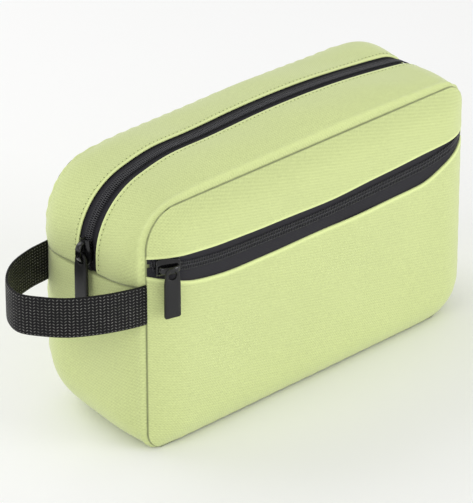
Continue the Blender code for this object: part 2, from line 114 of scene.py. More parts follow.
# Zips: the tapes' depth under the cloth and how far they run beneath it, and where the teeth and stitches lie
ZIP_EDGE = 6 * MM
TAPE_DEPTH = 1.6 * MM
TAPE_TUCK = 3.5 * MM
TEETH_DEPTH = 0.55 * MM
TEETH_OFFSET = 0.15 * MM
TAPE_EDGE = 1.2 * MM
STITCH_LIFT = 0.04 * MM
POCKET_LIP_DIP = 7 * MM

# Where the mouth's cloth starts and ends its bend, from the middle of the bag
BEND_START = 112 * MM
BEND_END = 58 * MM

# The mouth's four half strips, as side, end and their names
FACES = ((-1, "front"), (1, "back"))
MOUTH_PARTS = [(side, end, name, half) for side, name in FACES for end, half in ((-1, "left"), (1, "right"))]

# Slider plates: length, width, height of the top above the teeth, droop of the sides, thickness and rounding
SLIDER_PLATES = {
    "plate": (15.5 * MM, 10.4 * MM, 1.7 * MM, 1.4 * MM, 1.1 * MM, 0.3 * MM),
    "underplate": (13 * MM, 8.4 * MM, -2.6 * MM, -0.5 * MM, 1.0 * MM, 0.25 * MM),
}
SLIDER_LEAN = 21

# Puller: the tab, the radius of its round top and of the hole in it, and how its edges are rounded
PULLER_WIDTH = 10 * MM
PULLER_LENGTH = 31.1 * MM
PULLER_THICK = 1.7 * MM
PULLER_TOP = 4.4 * MM
PULLER_HOLE = 2.75 * MM
PULLER_ROUNDING = 0.35 * MM
PULLER_CORNER = 1.1 * MM

# The middle of the handle's webbing in plan, in millimetres, and where it starts and ends its bend
HANDLE_PLAN = (
    ((-129.0, -40.6), (-134.2, -40.0), (-144.0, -37.0), (-157.0, -31.5), (-172.0, -22.0), (-182.0, -10.0))
    + ((-188.0, 2.0), (-185.0, 14.0), (-177.0, 24.5), (-164.0, 33.5), (-148.0, 38.5), (-134.2, 40.0))
    + ((-129.0, 40.6),)
)
HANDLE_BEND = (-131 * MM, 0, 0), (-158 * MM, 0, 0)

# Linings and bindings: how far inside the seams they lie, and the bindings' width and thickness
LINING_INSET = 2.5 * MM
BAND_LINING_INSET = 1.5 * MM
BAND_LINING_DEPTH = 1.8 * MM
BINDING_INSET = 6 * MM
BINDING_WIDTH = 7.5 * MM
BINDING_THICK = 1.1 * MM

# Stage: the floor's half width, the lamps by name, place, width and watts, and the camera
FLOOR_HALF = 6.0
WORLD_STRENGTH = 0.68
LAMPS = (
    ("key", (1.1, -2.1, 0.5), 1.2, 24.0),
    ("fill", (-2.0, -0.2, 1.0), 1.4, 10.0),
    ("top", (-0.5, 1.6, 1.5), 1.6, 14.0),
)
LAMPS_AIM = (0, 0, 0.08)
LENS = 282.3
CAMERA_PLACE = (-1.4752, -1.4812, 1.1302)
CAMERA_AIM = (-0.0189, 0, 0.0755)


def size_property(label, description, millimetres):
    """A length setting with its default in millimetres."""
    length = millimetres * MM
    return bpy.props.FloatProperty(name=label, description=description, default=length, unit="LENGTH")


class BagSizes(bpy.types.PropertyGroup):
    """Sizes of the bag that a maker would change."""

    front_crown: size_property("Front crown", "How far the front face swells past its seam", 10)
    back_crown: size_property("Back crown", "How far the back face swells past its seam", 4.6)
    zip_show: size_property("Zip shown", "Half the width of zip that shows between the folded edges", 7.2)
    tooth_pitch: size_property("Tooth pitch", "Spacing of the coil's teeth along the zip", 1.3)
    stitch_pitch: size_property("Stitch pitch", "Length of one topstitch with its gap", 3.1)
    webbing_width: size_property("Webbing width", "Width of the handle's webbing", 24.8)
    webbing_thickness: size_property("Webbing thickness", "Thickness of the handle's webbing", 1.7)
    ripple: size_property("Ripple", "Height of the soft waves in the cloth", 0.75)


def linear(hex_colour):
    """An sRGB hex colour as linear red, green, blue and alpha."""
    channels = np.array([int(hex_colour[i : i + 2], 16) for i in (1, 3, 5)]) / 255
    low = channels / 12.92
    high = ((channels + 0.055) / 1.055) ** 2.4
    return (*np.where(channels <= 0.04045, low, high).tolist(), 1.0)


def colour_property(label, hex_colour):
    """A colour setting with its default."""
    return bpy.props.FloatVectorProperty(
        name=label,
        description=f"Colour of the {label.lower()}",
        subtype="COLOR",
        size=4,
        min=0,
        max=1,
        default=linear(hex_colour),
    )


class BagColours(bpy.types.PropertyGroup):
    """Colours of the bag that a maker would change."""

    cloth: colour_property("Oxford cloth", "#CAD592")
    thread: colour_property("Topstitching", "#D3DE9C")
    tape: colour_property("Zip tape", "#222127")
    coil: colour_property("Zip coil", "#252529")
    slider: colour_property("Slider enamel", "#0B0B0C")
    puller: colour_property("Puller enamel", "#141415")
    webbing: colour_property("Webbing", "#0B0B0C")
    fleck: colour_property("Webbing fleck", "#8E8D89")
    lining: colour_property("Lining", "#8F9290")


# ---------------------------------------------------------------- curves and surfaces


def arc(centre, radius, start, end, count):
    """Points on a circle: centre plus radius times (cos a, sin a), a running evenly between two angles."""
    angle = np.radians(np.linspace(start, end, count))
    return np.asarray(centre) + radius * stacked(np.cos(angle), np.sin(angle))


def straight(start, end, count):
    """Evenly spaced points between two points."""
    share = np.linspace(0, 1, count)[:, None]
    return np.asarray(start) * (1 - share) + np.asarray(end) * share


def lengths(points):
    """Length along a polyline up to each of its points."""
    steps = np.linalg.norm(np.diff(points, axis=0), axis=1)
    return np.concatenate([[0], np.cumsum(steps)])


def smooth_step(low, high, x):
    """0 below low, 1 above high, and 3t^2 - 2t^3 between."""
    t = np.clip((x - low) / (high - low), 0, 1)
    return t * t * (3 - 2 * t)


def crease(distance):
    """How much painted shade a seam's crease gets: 1 at the seam, fading to 0 over the width of a crease."""
    return smooth_step(CREASE, 0.0, distance)


def signed_power(x, power):
    """A power of the size of x, with the sign of x."""
    return np.sign(x) * np.abs(x) ** power


def hump(x, centre, width):
    """A smooth hump 1 high: e to the minus of (x - centre) / width squared."""
    return np.exp(-(((x - centre) / width) ** 2))


def unit(vectors):
    """Vectors made one long."""
    return vectors / np.linalg.norm(vectors, axis=-1, keepdims=True)


def stacked(*parts):
    """Arrays spread over one grid and stacked as its coordinates."""
    return np.stack(np.broadcast_arrays(*parts), -1)


def eased(count, start=-1.0, end=1.0):
    """Numbers from start to end, closer together at both ends, by half a cosine."""
    return start + (end - start) * (0.5 - 0.5 * np.cos(np.linspace(0, np.pi, count)))


def ripples(a, b):
    """Soft waves from -1 to 1 over two lengths: three sines that cross at angles to each other."""
    waves = np.sin(a / (17 * MM) + 1.3 * np.sin(b / (29 * MM)))
    waves = waves + np.sin(b / (13 * MM) - a / (41 * MM) + 2.0)
    return (waves + np.sin((a + b) / (9.5 * MM) + 0.7)) / 3


class Loop:
    """The bag's closed outline seen from the front, from the middle of the base to the left and over the top.

    It is four lines matched point for point: the seam and the crown, each at the front and at the back.
    """

    def __init__(self, seam_front, seam_back, crown_front, crown_back):
        middle = (crown_front + crown_back) / 2
        keep = np.concatenate([[True], np.linalg.norm(np.diff(middle, axis=0), axis=1) > 1e-7])
        self.seams = seam_front[keep], seam_back[keep]
        self.crowns = crown_front[keep], crown_back[keep]
        middle = middle[keep]
        self.at = lengths(middle)
        tangent = np.gradient(middle, self.at, axis=0)
        self.outward = unit(stacked(-tangent[:, 1], tangent[:, 0]))
        upper = middle[:, 1] > SEAM_TOP
        self.middle = float(np.interp(0.0, middle[upper, 0], self.at[upper]))
        left = middle[:, 0] < -0.999 * CROWN_SIDE
        right = middle[:, 0] > 0.999 * CROWN_SIDE
        self.left_gusset = float(np.interp(GUSSET, middle[left, 1], self.at[left]))
        self.right_gusset = float(np.interp(-GUSSET, -middle[right, 1], self.at[right]))

    def read(self, table, s):
        """A two-column table read at length s along the crown, going round again past its end."""
        return np.stack([np.interp(s, self.at, table[:, k], period=self.at[-1]) for k in (0, 1)], -1)

    def out(self, s):
        """Outward direction at s, in space."""
        x, z = np.moveaxis(self.read(self.outward, s), -1, 0)
        return unit(stacked(x, 0, z))

    def point(self, s, y, depth=0.0, ripple=0.0):
        """Seam plus (crown - seam) times swell(y), at that y, set in by depth along the outward normal.

        The swell is (1 - a^p)^0.85, a being the share of the way from the zip's edge to the seam. A low
        roll stands up beside the seam, where the turned edges lie under the cloth, and the right back
        shoulder is fuller than the rest.
        """
        s, y, depth = np.broadcast_arrays(s, y, depth)
        front = y < 0
        across = np.clip((np.abs(y) - ZIP_EDGE) / (np.where(front, SEAM_Y, BACK_Y) - ZIP_EDGE), 0, 1)
        swell = (1 - across ** np.where(front, 3.0, 4.0)) ** 0.85
        backness = np.clip((y + SEAM_Y) / (SEAM_Y + BACK_Y), 0, 1)[..., None]
        seam = np.where(front[..., None], self.read(self.seams[0], s), self.read(self.seams[1], s))
        crown = self.read(self.crowns[0], s) * (1 - backness) + self.read(self.crowns[1], s) * backness
        place = seam + (crown - seam) * swell[..., None]
        away = (1 - across) * (SEAM_Y - ZIP_EDGE)
        pucker = 1 + 0.5 * np.sin(s / (1.7 * MM) + 2 * np.sin(s / (19 * MM))) * np.exp(-away / (5 * MM))
        roll = ROLL * hump(away, ROLL_PLACE, ROLL_WIDTH) * pucker
        waves = ripple * ripples(s, y + 31 * MM) * np.sin(np.pi * across)
        gusset = np.minimum(np.abs(s - self.left_gusset), np.abs(s - self.right_gusset))
        pinch = PINCH * hump(gusset, 0, PINCH_WIDTH) * swell
        shoulder = SHOULDER * hump(s, self.middle + SHOULDER_PLACE, SHOULDER_WIDTH) * np.sin(np.pi * across)
        inward = depth - waves - roll + pinch - np.where(front, 0, shoulder)
        place = place - self.read(self.outward, s) * inward[..., None]
        return stacked(place[..., 0], y, np.maximum(place[..., 1], np.maximum(depth, 0)))


def loop_line(half, radii, upper):
    """One closed line: half the base, the low left corner, up, the upper part, down, the low right corner."""
    left, right = radii
    return np.concatenate(
        [
            straight((0, 0), (left - half, 0), 60),
            arc((left - half, left), left, 270, 180, 40),
            straight((-half, left), (-half, GUSSET), 60),
            *upper,
            straight((half, GUSSET), (half, right), 60),
            arc((half - right, right), right, 0, -90, 40),
            straight((half - right, 0), (0, 0), 60),
        ]
    )


def seam_upper(half, radii):
    """The upper part of a seam: a straight top with two round corners."""
    left, right = radii
    return (
        straight((-half, GUSSET), (-half, SEAM_TOP - left), 12),
        arc((left - half, SEAM_TOP - left), left, 180, 90, 60),
        straight((left - half, SEAM_TOP), (half - right, SEAM_TOP), 180),
        arc((half - right, SEAM_TOP - right), right, 90, 0, 60),
        straight((half, SEAM_TOP - right), (half, GUSSET), 16),
    )


def crown_upper():
    """The upper part of the crown: a long shallow arc between two rounder corners that it touches."""
    centre_z = CROWN_TOP - CROWN_TOP_RADIUS
    left = np.array([CROWN_LEFT_RADIUS - CROWN_SIDE, CROWN_LEFT_Z])
    reach = CROWN_TOP_RADIUS - CROWN_LEFT_RADIUS
    centre_x = left[0] + math.sqrt(reach**2 - (left[1] - centre_z) ** 2)
    right_x = CROWN_SIDE - CROWN_RIGHT_RADIUS
    reach = CROWN_TOP_RADIUS - CROWN_RIGHT_RADIUS
    right = np.array([right_x, centre_z + math.sqrt(reach**2 - (right_x - centre_x) ** 2)])
    left_tilt = math.degrees(math.atan2(centre_x - left[0], left[1] - centre_z))
    right_tilt = math.degrees(math.atan2(right[0] - centre_x, right[1] - centre_z))
    sections = [
        straight((-CROWN_SIDE, GUSSET), (-CROWN_SIDE, left[1]), 12),
        arc(left, CROWN_LEFT_RADIUS, 180, 90 + left_tilt, 60),
        arc((centre_x, centre_z), CROWN_TOP_RADIUS, 90 + left_tilt, 90 - right_tilt, 180),
        arc(right, CROWN_RIGHT_RADIUS, 90 - right_tilt, 0, 60),
        straight((CROWN_SIDE, right[1]), (CROWN_SIDE, GUSSET), 16),
    ]
    for line in sections[1:3]:
        line[:, 1] += SHOULDER_LIFT * hump(line[:, 0], -84 * MM, 26 * MM)
    return sections


def bag_loop():
    """The loop of this bag."""
    seams = [
        loop_line(half, LOW_RADII[face], seam_upper(half, TOP_RADII[face]))
        for face, half in (("front", HALF_WIDTH), ("back", BACK_HALF_WIDTH))
    ]
    crown = crown_upper()
    return Loop(*seams, *(loop_line(CROWN_SIDE, CROWN_LOW_RADII[face], crown) for face in ("front", "back")))


def half_widths(z, side):
    """Distance from the middle of a face to its left and its right edge at height z."""
    full, face = (HALF_WIDTH, "front") if side < 0 else (BACK_HALF_WIDTH, "back")
    halves = []
    for low, top in zip(LOW_RADII[face], TOP_RADII[face], strict=True):
        half = np.full_like(z, full)
        for radius, edge in ((low, z), (top, SEAM_TOP - z)):
            inside = np.clip(radius - edge, 0, radius)
            half = half - (radius - np.sqrt(np.maximum(radius**2 - inside**2, 0)))
        halves.append(half)
    return halves


def face_point(side, share, z, crown, depth=0.0, ripple=0.0):
    """A face: x = share times the width to that edge, y = seam plane + crown times rise, less depth.

    The rise is the product of 1 - (1 - d/L)^2.4 over the distances d to the ends, the top and the base,
    with a low pillow in the middle.
    """
    share, z, depth = np.broadcast_arrays(share, z, depth)
    left, right = half_widths(z, side)
    x = share * np.where(share < 0, left, right)

    def rise(distance, reach):
        return 1 - (1 - np.clip(distance / reach, 0, 1)) ** 2.4

    to_end = np.where(share < 0, left + x, right - x)
    ends = rise(to_end, END_REACH)
    heights = np.minimum(rise(z, BASE_REACH), rise(SEAM_TOP - z, TOP_REACH))
    pillow = np.cos(np.pi * share / 2) * np.sin(np.pi * np.clip(z / SEAM_TOP, 0, 1))
    amount = crown * ends * heights + PILLOW * pillow
    waves = ripple * ripples(x, z) * ends * heights
    edge = np.minimum(to_end, np.minimum(z, SEAM_TOP - z))
    pucker = np.sin(z / (2.1 * MM) + x / (1.9 * MM)) * np.exp(-edge / (6 * MM)) * np.sqrt(ends * heights)
    plane = (SEAM_Y if side < 0 else BACK_Y) + SEAM_GAP
    y = side * (plane + amount + waves + 0.5 * ripple * pucker - depth)
    return stacked(x, y, z)


def front_point(x, z, depth=0.0, ripple=0.0):
    """The front face by x and height."""
    return face_point(-1, x / HALF_WIDTH, z, bpy.context.scene.bag_sizes.front_crown, depth, ripple)


def yoke_edge(share):
    """Height of the yoke's lower edge: drawn up a little at both ends, and sagging in the middle."""
    sag = 3.3 * MM * hump(share, 0.02, 0.42)
    ends = 3.4 * MM * smooth_step(-0.6, -0.95, share) + 1.5 * MM * smooth_step(0.72, 0.98, share)
    return POCKET_ZIP_TOP + ends - sag


def pocket_lip(share):
    """Height of the pocket's upper edge: it bows down from its ends, and most at the right end."""
    ends = 3.4 * MM * smooth_step(-0.5, -0.95, share) + 2.4 * MM * smooth_step(-0.76, -1.0, share)
    ends = ends + 8.3 * MM * smooth_step(0.64, 0.98, share)
    return POCKET_ZIP_END - POCKET_LIP_DIP * (1 - np.abs(share) ** 5) + ends


def pocket_zip_line(share):
    """Height of the pocket zip's teeth: two fifths of the way down the gap in the cloth."""
    return 0.6 * yoke_edge(share) + 0.4 * pocket_lip(share)


def fold_rows(count=6):
    """How far a folded hem's rows stand back from its edge, and their depth.

    They go round half a circle, and on over the turned cloth.
    """
    angle = np.linspace(0, np.pi, count + 1)[1:]
    back = FOLD_RADIUS * (1 - np.sin(angle))
    depth = FOLD_RADIUS * (1 - np.cos(angle))
    return np.append(back, 5 * MM), np.append(depth, 2 * FOLD_RADIUS)


# ---------------------------------------------------------------- meshes


def grid_quads(rows, columns, wrap_rows=False, wrap_columns=False):
    """Corner numbers of the quads of a grid, which may close on itself either way."""
    i = np.arange(rows if wrap_rows else rows - 1)[:, None]
    j = np.arange(columns if wrap_columns else columns - 1)[None, :]
    after_i, after_j = (i + 1) % rows, (j + 1) % columns
    corners = [i * columns + j, after_i * columns + j, after_i * columns + after_j, i * columns + after_j]
    return stacked(*corners).reshape(-1, 4)


def cap_quads(ring, flip=False):
    """Quads that close a ring with an even number of points, as ladder rungs across it."""
    count = len(ring) // 2 - 1
    i = np.arange(count)
    quads = np.stack([ring[i], ring[i + 1], ring[-2 - i], ring[-1 - i]], -1)
    return quads[:, ::-1] if flip else quads


def quad_mesh(name, vertices, quads, uv=None, painted_light=None):
    """A smooth mesh of quads, with a cloth map in metres and, if given, a mark of painted highlight and
    shade.
    """
    mesh = bpy.data.meshes.new(name)
    vertices = np.asarray(vertices, np.float32).reshape(-1, 3)
    quads = np.asarray(quads, np.int32)
    mesh.vertices.add(len(vertices))
    mesh.vertices.foreach_set("co", vertices.ravel())
    mesh.loops.add(quads.size)
    mesh.loops.foreach_set("vertex_index", quads.ravel())
    mesh.polygons.add(len(quads))
    mesh.polygons.foreach_set("loop_start", np.arange(0, quads.size, 4, dtype=np.int32))
    mesh.update(calc_edges=True)
    edge_of = np.empty(quads.size, np.int32)
    mesh.loops.foreach_get("edge_index", edge_of)
    border = mesh.attributes.new("sharp_edge", "BOOLEAN", "EDGE")
    border.data.foreach_set("value", np.bincount(edge_of, minlength=len(mesh.edges)) == 1)
    if uv is not None:
        layer = mesh.uv_layers.new(name="cloth")
        layer.data.foreach_set("uv", np.asarray(uv, np.float32).reshape(-1, 2)[quads.ravel()].ravel())
    if painted_light is not None:
        mark = mesh.attributes.new("painted_light", "FLOAT", "POINT")
        mark.data.foreach_set("value", np.asarray(painted_light, np.float32).ravel())
    mesh.shade_smooth()
    return mesh


def grid_mesh(name, points, uv=None, painted_light=None, flip=False):
    """A sheet from a grid of points."""
    quads = grid_quads(*points.shape[:2])
    return quad_mesh(name, points, quads[:, ::-1] if flip else quads, uv, painted_light)


def swept_mesh(name, path, side, up, section, uv=None, closed=False):
    """A closed section carried along a path: path + side times its first number + up times its second."""
    points = path[:, None] + side[:, None] * section[None, :, 0:1] + up[:, None] * section[None, :, 1:2]
    rows, columns = points.shape[:2]
    quads = grid_quads(rows, columns, closed, True)
    if not closed:
        first, last = np.arange(columns), np.arange(columns) + (rows - 1) * columns
        quads = np.concatenate([quads, cap_quads(first), cap_quads(last, True)])
    return quad_mesh(name, points, quads, uv)


def rounded_section(width, height, count=20, power=4.0):
    """A superellipse |x/a|^p + |y/b|^p = 1, as points on it at even angles."""
    angle = np.linspace(0, 2 * np.pi, count, endpoint=False) + np.pi / count
    x = signed_power(np.cos(angle), 2 / power) * width / 2
    return stacked(x, signed_power(np.sin(angle), 2 / power) * height / 2)


def stitch_shape(pitch):
    """One stitch, with a small bead at its end painted dark as the shade in the needle hole it goes down
    into.
    """
    stitch = bead(pitch * 0.76, 0.30 * MM, 0.75)
    hole = bead(0.75 * MM, 0.36 * MM, 0.35)
    return joined(stitch, (hole[0] + (pitch / 2, 0, 0), hole[1]))


def bead(length, radius, flatten=1.0, sides=6):
    """A little closed spindle along its first axis: rings whose radius is r times sqrt(1 - 0.93 a^4)."""
    along = np.array([-1, -0.86, -0.5, 0, 0.5, 0.86, 1.0])
    rings = len(along)
    size = (radius * np.sqrt(1 - 0.93 * along**4))[:, None]
    angle = np.linspace(0, 2 * np.pi, sides, endpoint=False)
    points = stacked(along[:, None] * length / 2, size * np.cos(angle), size * (np.sin(angle) * flatten))
    first = np.arange(sides)
    ends = cap_quads(first), cap_quads(first + (rings - 1) * sides, True)
    quads = np.concatenate([grid_quads(rings, sides, False, True), *ends])
    return points.reshape(-1, 3), quads[:, ::-1]


def copies(shape, origins, axes):
    """The same small shape at many places: origin plus its three numbers times the place's three axes."""
    points, quads = shape
    placed = origins[:, None] + np.einsum("kj,nji->nki", points, axes)
    offsets = (np.arange(len(origins)) * len(points))[:, None, None]
    return placed.reshape(-1, 3), (quads[None] + offsets).reshape(-1, 4)


def joined(*shapes):
    """Several sets of points and quads as one."""
    counts = np.cumsum([0] + [len(points) for points, _ in shapes])
    points = np.concatenate([points for points, _ in shapes])
    return points, np.concatenate([quads + n for (_, quads), n in zip(shapes, counts, strict=False)])


def axes_on(surface, s, other, *settings):
    """Unit axes on a surface at (s, other): along s, across it, and out, from small steps each way.

    The settings are the surface's depth and ripple.
    """
    step = 0.2 * MM
    along = unit(surface(s + step, other, *settings) - surface(s - step, other, *settings))
    across = surface(s, other + step, *settings) - surface(s, other - step, *settings)
    out = unit(np.cross(along, across))
    return np.stack([along, np.cross(out, along), out], 1)


# ---------------------------------------------------------------- materials


def add_node(tree, kind, inputs=None, **settings):
    """Adds a node, sets its properties, and gives each named input a value or a link."""
    made = tree.nodes.new(kind)
    for key, value in settings.items():
        setattr(made, key, value)
    for key, value in (inputs or {}).items():
        if isinstance(value, bpy.types.NodeSocket):
            tree.links.new(value, made.inputs[key])
        else:
            made.inputs[key].default_value = value
    return made


def new_material(name, roughness, **sockets):
    """A material whose Principled shader has its plain sockets set; returns it, its tree and the shader."""
    made = bpy.data.materials.new(name)
    made.use_nodes = True
    shader = made.node_tree.nodes["Principled BSDF"]
    shader.inputs["Roughness"].default_value = roughness
    for key, value in sockets.items():
        shader.inputs[key.replace("_", " ")].default_value = value
    return made, made.node_tree, shader


def cloth_waves(tree, pitch_u, pitch_v, turn=0.0, wander=0.0):
    """Two sines over the cloth map, with these pitches in metres, the map turned by an angle.

    Their phase wanders by up to so many turns from place to place, because yarns are never quite straight.
    """
    uv = add_node(tree, "ShaderNodeUVMap", uv_map="cloth").outputs[0]
    scale = (2 * math.pi / pitch_u, 2 * math.pi / pitch_v, 1)
    turned = add_node(tree, "ShaderNodeMapping", {"Vector": uv, "Rotation": (0, 0, turn)}).outputs[0]
    phase = add_node(tree, "ShaderNodeMapping", {"Vector": turned, "Scale": scale}).outputs[0]
    if wander:
        drift = add_node(tree, "ShaderNodeTexNoise", {"Vector": uv, "Scale": 160.0, "Detail": 2.0})
        drifted = {0: drift.outputs["Color"], 1: (2 * math.pi * wander,) * 3, 2: phase}
        phase = add_node(tree, "ShaderNodeVectorMath", drifted, operation="MULTIPLY_ADD").outputs[0]
    parts = add_node(tree, "ShaderNodeSeparateXYZ", {0: phase}).outputs
    return [add_node(tree, "ShaderNodeMath", {0: parts[k]}, operation="SINE").outputs[0] for k in (0, 1)]


def weighted(tree, a, weight_a, b, weight_b, lift=0.0):
    """a times its weight, plus b times its weight, plus lift."""
    for pattern, weight in ((a, weight_a), (b, weight_b)):
        inputs = {0: pattern, 1: weight, 2: lift}
        lift = add_node(tree, "ShaderNodeMath", inputs, operation="MULTIPLY_ADD").outputs[0]
    return lift


def dress(tree, shader, shade, *layers, height=None, strength=0.0, depth=0.0):
    """Gives the shader a colour with others laid over it, each by its own share, and a pattern's relief."""
    for share, colour in layers:
        inputs = {"Factor": share, "A": shade, "B": colour}
        shade = add_node(tree, "ShaderNodeMix", inputs, data_type="RGBA").outputs["Result"]
    tree.links.new(shade, shader.inputs["Base Color"])
    if height is not None:
        relief = add_node(tree, "ShaderNodeBump", {"Height": height, "Strength": strength, "Distance": depth})
        tree.links.new(relief.outputs[0], shader.inputs["Normal"])


def tinted(colour, share):
    """A colour made lighter or darker by a share."""
    return (*[min(1.0, c * share) for c in colour[:3]], 1.0)


def oxford_cloth(colours):
    """Polyester oxford, woven with a plump rib: matt, with fine ribs 1.7 mm apart that catch light.

    Real ribs are about 0.7 mm apart and wouldn't show, so they are drawn coarser. Folded edges get a painted
    highlight, and seam creases a painted shade.
    """
    made, tree, shader = new_material("lime_oxford_cloth", 0.78, Specular_IOR_Level=0.3, Sheen_Weight=0.3)
    shader.inputs["Sheen Roughness"].default_value = 0.5
    u_wave, v_wave = cloth_waves(tree, 1.8 * MM, 1.7 * MM, math.radians(12), 0.4)
    cross = add_node(tree, "ShaderNodeMath", {0: u_wave, 1: v_wave}, operation="MULTIPLY").outputs[0]
    weave = weighted(tree, v_wave, 0.25, cross, 0.4, 0.5)
    place = add_node(tree, "ShaderNodeTexCoord").outputs["Object"]
    broad = add_node(tree, "ShaderNodeTexNoise", {"Vector": place, "Scale": 22.0, "Detail": 3.0}).outputs[0]
    fine = add_node(tree, "ShaderNodeTexNoise", {"Vector": place, "Scale": 900.0, "Detail": 2.0}).outputs[0]
    grain = weighted(tree, fine, 1.0, weave, 0.5, -0.28)
    # Broad lighter and darker patches: partly random tone, partly painted shade of soft wrinkles
    inputs = {"Factor": broad, "A": tinted(colours.cloth, 0.88), "B": tinted(colours.cloth, 1.12)}
    tone_and_wrinkle_shade = add_node(tree, "ShaderNodeMix", inputs, data_type="RGBA").outputs["Result"]
    # The mark of painted light: above 0 a painted highlight on folded edges, below 0 painted shade in seam
    # creases
    painted_light = add_node(tree, "ShaderNodeAttribute", attribute_name="painted_light").outputs["Fac"]
    painted_crease_shade = add_node(tree, "ShaderNodeMath", {0: painted_light, 1: -0.75}, operation="MULTIPLY", use_clamp=True)
    dress(
        tree,
        shader,
        tinted(colours.cloth, 0.78),
        (grain, tinted(colours.cloth, 1.2)),
        (0.3, tone_and_wrinkle_shade),
        # Painted highlight on folded edges, then painted shade in seam creases
        (painted_light, tinted(colours.cloth, 1.28)),
        (painted_crease_shade.outputs[0], tinted(colours.cloth, 0.30)),
        height=weighted(tree, weave, 1.0, fine, 0.35),
        strength=0.7,
        depth=0.10 * MM,
    )
    return made


def spun_thread(colours):
    """Polyester sewing thread: twisted plies, shinier and paler than the cloth, and the needle holes painted
    dark as shade.
    """
    made, tree, shader = new_material("lime_sewing_thread", 0.5, Specular_IOR_Level=0.35)
    place = add_node(tree, "ShaderNodeTexCoord").outputs["Object"]
    ply = add_node(tree, "ShaderNodeTexWave", {"Vector": place, "Scale": 260.0}, bands_direction="DIAGONAL")
    painted_light = add_node(tree, "ShaderNodeAttribute", attribute_name="painted_light").outputs["Fac"]
    # Painted shade on the needle holes, where the mark is below 0
    hole = add_node(tree, "ShaderNodeMath", {0: painted_light, 1: -1.0}, operation="MULTIPLY", use_clamp=True)
    plies = (ply.outputs["Fac"], tinted(colours.thread, 1.15))
    dress(tree, shader, tinted(colours.thread, 0.85), plies, (hole.outputs[0], tinted(colours.cloth, 0.28)))
    return made


def zip_tape(colours):
    """Polyester zip tape: a tight herringbone twill, near black with a violet cast, matt."""
    made, tree, shader = new_material("charcoal_zip_tape", 0.72, Specular_IOR_Level=0.25, Sheen_Weight=0.06)
    u_wave, v_wave = cloth_waves(tree, 1.1 * MM, 1.5 * MM, math.radians(35))
    twill = weighted(tree, u_wave, 0.3, v_wave, 0.12, 0.5)
    threads = (twill, tinted(colours.tape, 1.35))
    dress(tree, shader, tinted(colours.tape, 0.62), threads, height=twill, strength=0.6, depth=0.08 * MM)
    return made


def nylon_coil(colours):
    """Nylon monofilament teeth: smooth drawn plastic with a soft shine."""
    made, tree, shader = new_material("black_nylon_coil", 0.36, Specular_IOR_Level=0.5)
    place = add_node(tree, "ShaderNodeTexCoord").outputs["Object"]
    # Lighter specks scattered at random over the teeth
    lighter_specks = add_node(tree, "ShaderNodeTexNoise", {"Vector": place, "Scale": 300.0}).outputs[0]
    dress(tree, shader, tinted(colours.coil, 0.7), (lighter_specks, tinted(colours.coil, 1.6)))
    return made


def gloss_enamel(colours):
    """Die-cast zinc under baked gloss enamel: deep black, with a slight ripple in the coat."""
    made, tree, shader = new_material("gloss_black_enamel", 0.2, Specular_IOR_Level=0.4, Coat_Weight=0.25)
    place = add_node(tree, "ShaderNodeTexCoord").outputs["Object"]
    orange_peel = add_node(tree, "ShaderNodeTexNoise", {"Vector": place, "Scale": 700.0}).outputs[0]
    peaks = (orange_peel, tinted(colours.slider, 1.4))
    dress(tree, shader, colours.slider, peaks, height=orange_peel, strength=0.25, depth=0.03 * MM)
    return made


def satin_enamel(colours):
    """The same zinc under satin enamel: charcoal, with the fine grain of a tumbled casting."""
    made, tree, shader = new_material("satin_charcoal_enamel", 0.4, Specular_IOR_Level=0.4)
    place = add_node(tree, "ShaderNodeTexCoord").outputs["Object"]
    grain = add_node(tree, "ShaderNodeTexNoise", {"Vector": place, "Scale": 2200.0, "Detail": 2.0}).outputs[0]
    rough = add_node(tree, "ShaderNodeMapRange", {"Value": grain, "To Min": 0.34, "To Max": 0.5})
    tree.links.new(rough.outputs[0], shader.inputs["Roughness"])
    peaks = (grain, tinted(colours.puller, 1.3))
    dress(tree, shader, tinted(colours.puller, 0.8), peaks, height=grain, strength=0.3, depth=0.02 * MM)
    return made


def ribbed_webbing(colours):
    """Polypropylene webbing: heavy yarns in columns that slant to and fro, whose backs show as pale flecks.

    The pattern is the sine of the yarns' phase, slanted by the column, times the size of the column's sine.
    """
    made, tree, shader = new_material("black_ribbed_webbing", 0.55, Specular_IOR_Level=0.2)
    column, yarn_turns, slope = 2.2 * MM, 2 * math.pi / (1.9 * MM), 0.55
    uv = add_node(tree, "ShaderNodeUVMap", uv_map="cloth").outputs[0]
    parts = add_node(tree, "ShaderNodeSeparateXYZ", {0: uv}).outputs
    slant = add_node(tree, "ShaderNodeMath", {0: parts[0], 1: column}, operation="PINGPONG").outputs[0]
    phase = weighted(tree, parts[1], yarn_turns, slant, slope * yarn_turns)
    yarn = add_node(tree, "ShaderNodeMath", {0: phase}, operation="SINE").outputs[0]
    rib = {0: parts[0], 1: math.pi / column}
    for step in ("MULTIPLY", "SINE", "ABSOLUTE"):
        rib = {0: add_node(tree, "ShaderNodeMath", rib, operation=step).outputs[0]}
    cross = add_node(tree, "ShaderNodeMath", {0: yarn, 1: rib[0]}, operation="MULTIPLY").outputs[0]
    limits = {"Value": cross, "From Min": 0.42, "From Max": 0.95}
    knots = add_node(tree, "ShaderNodeMapRange", limits, interpolation_type="SMOOTHSTEP").outputs[0]
    patchy = add_node(tree, "ShaderNodeTexNoise", {"Vector": uv, "Scale": 120.0, "Detail": 2.0}).outputs[0]
    knots = add_node(tree, "ShaderNodeMath", {0: knots, 1: patchy}, operation="MULTIPLY").outputs[0]
    flecks = (knots, tinted(colours.fleck, 1.2))
    dress(tree, shader, tinted(colours.webbing, 0.8), flecks, height=cross, strength=0.8, depth=0.2 * MM)
    return made


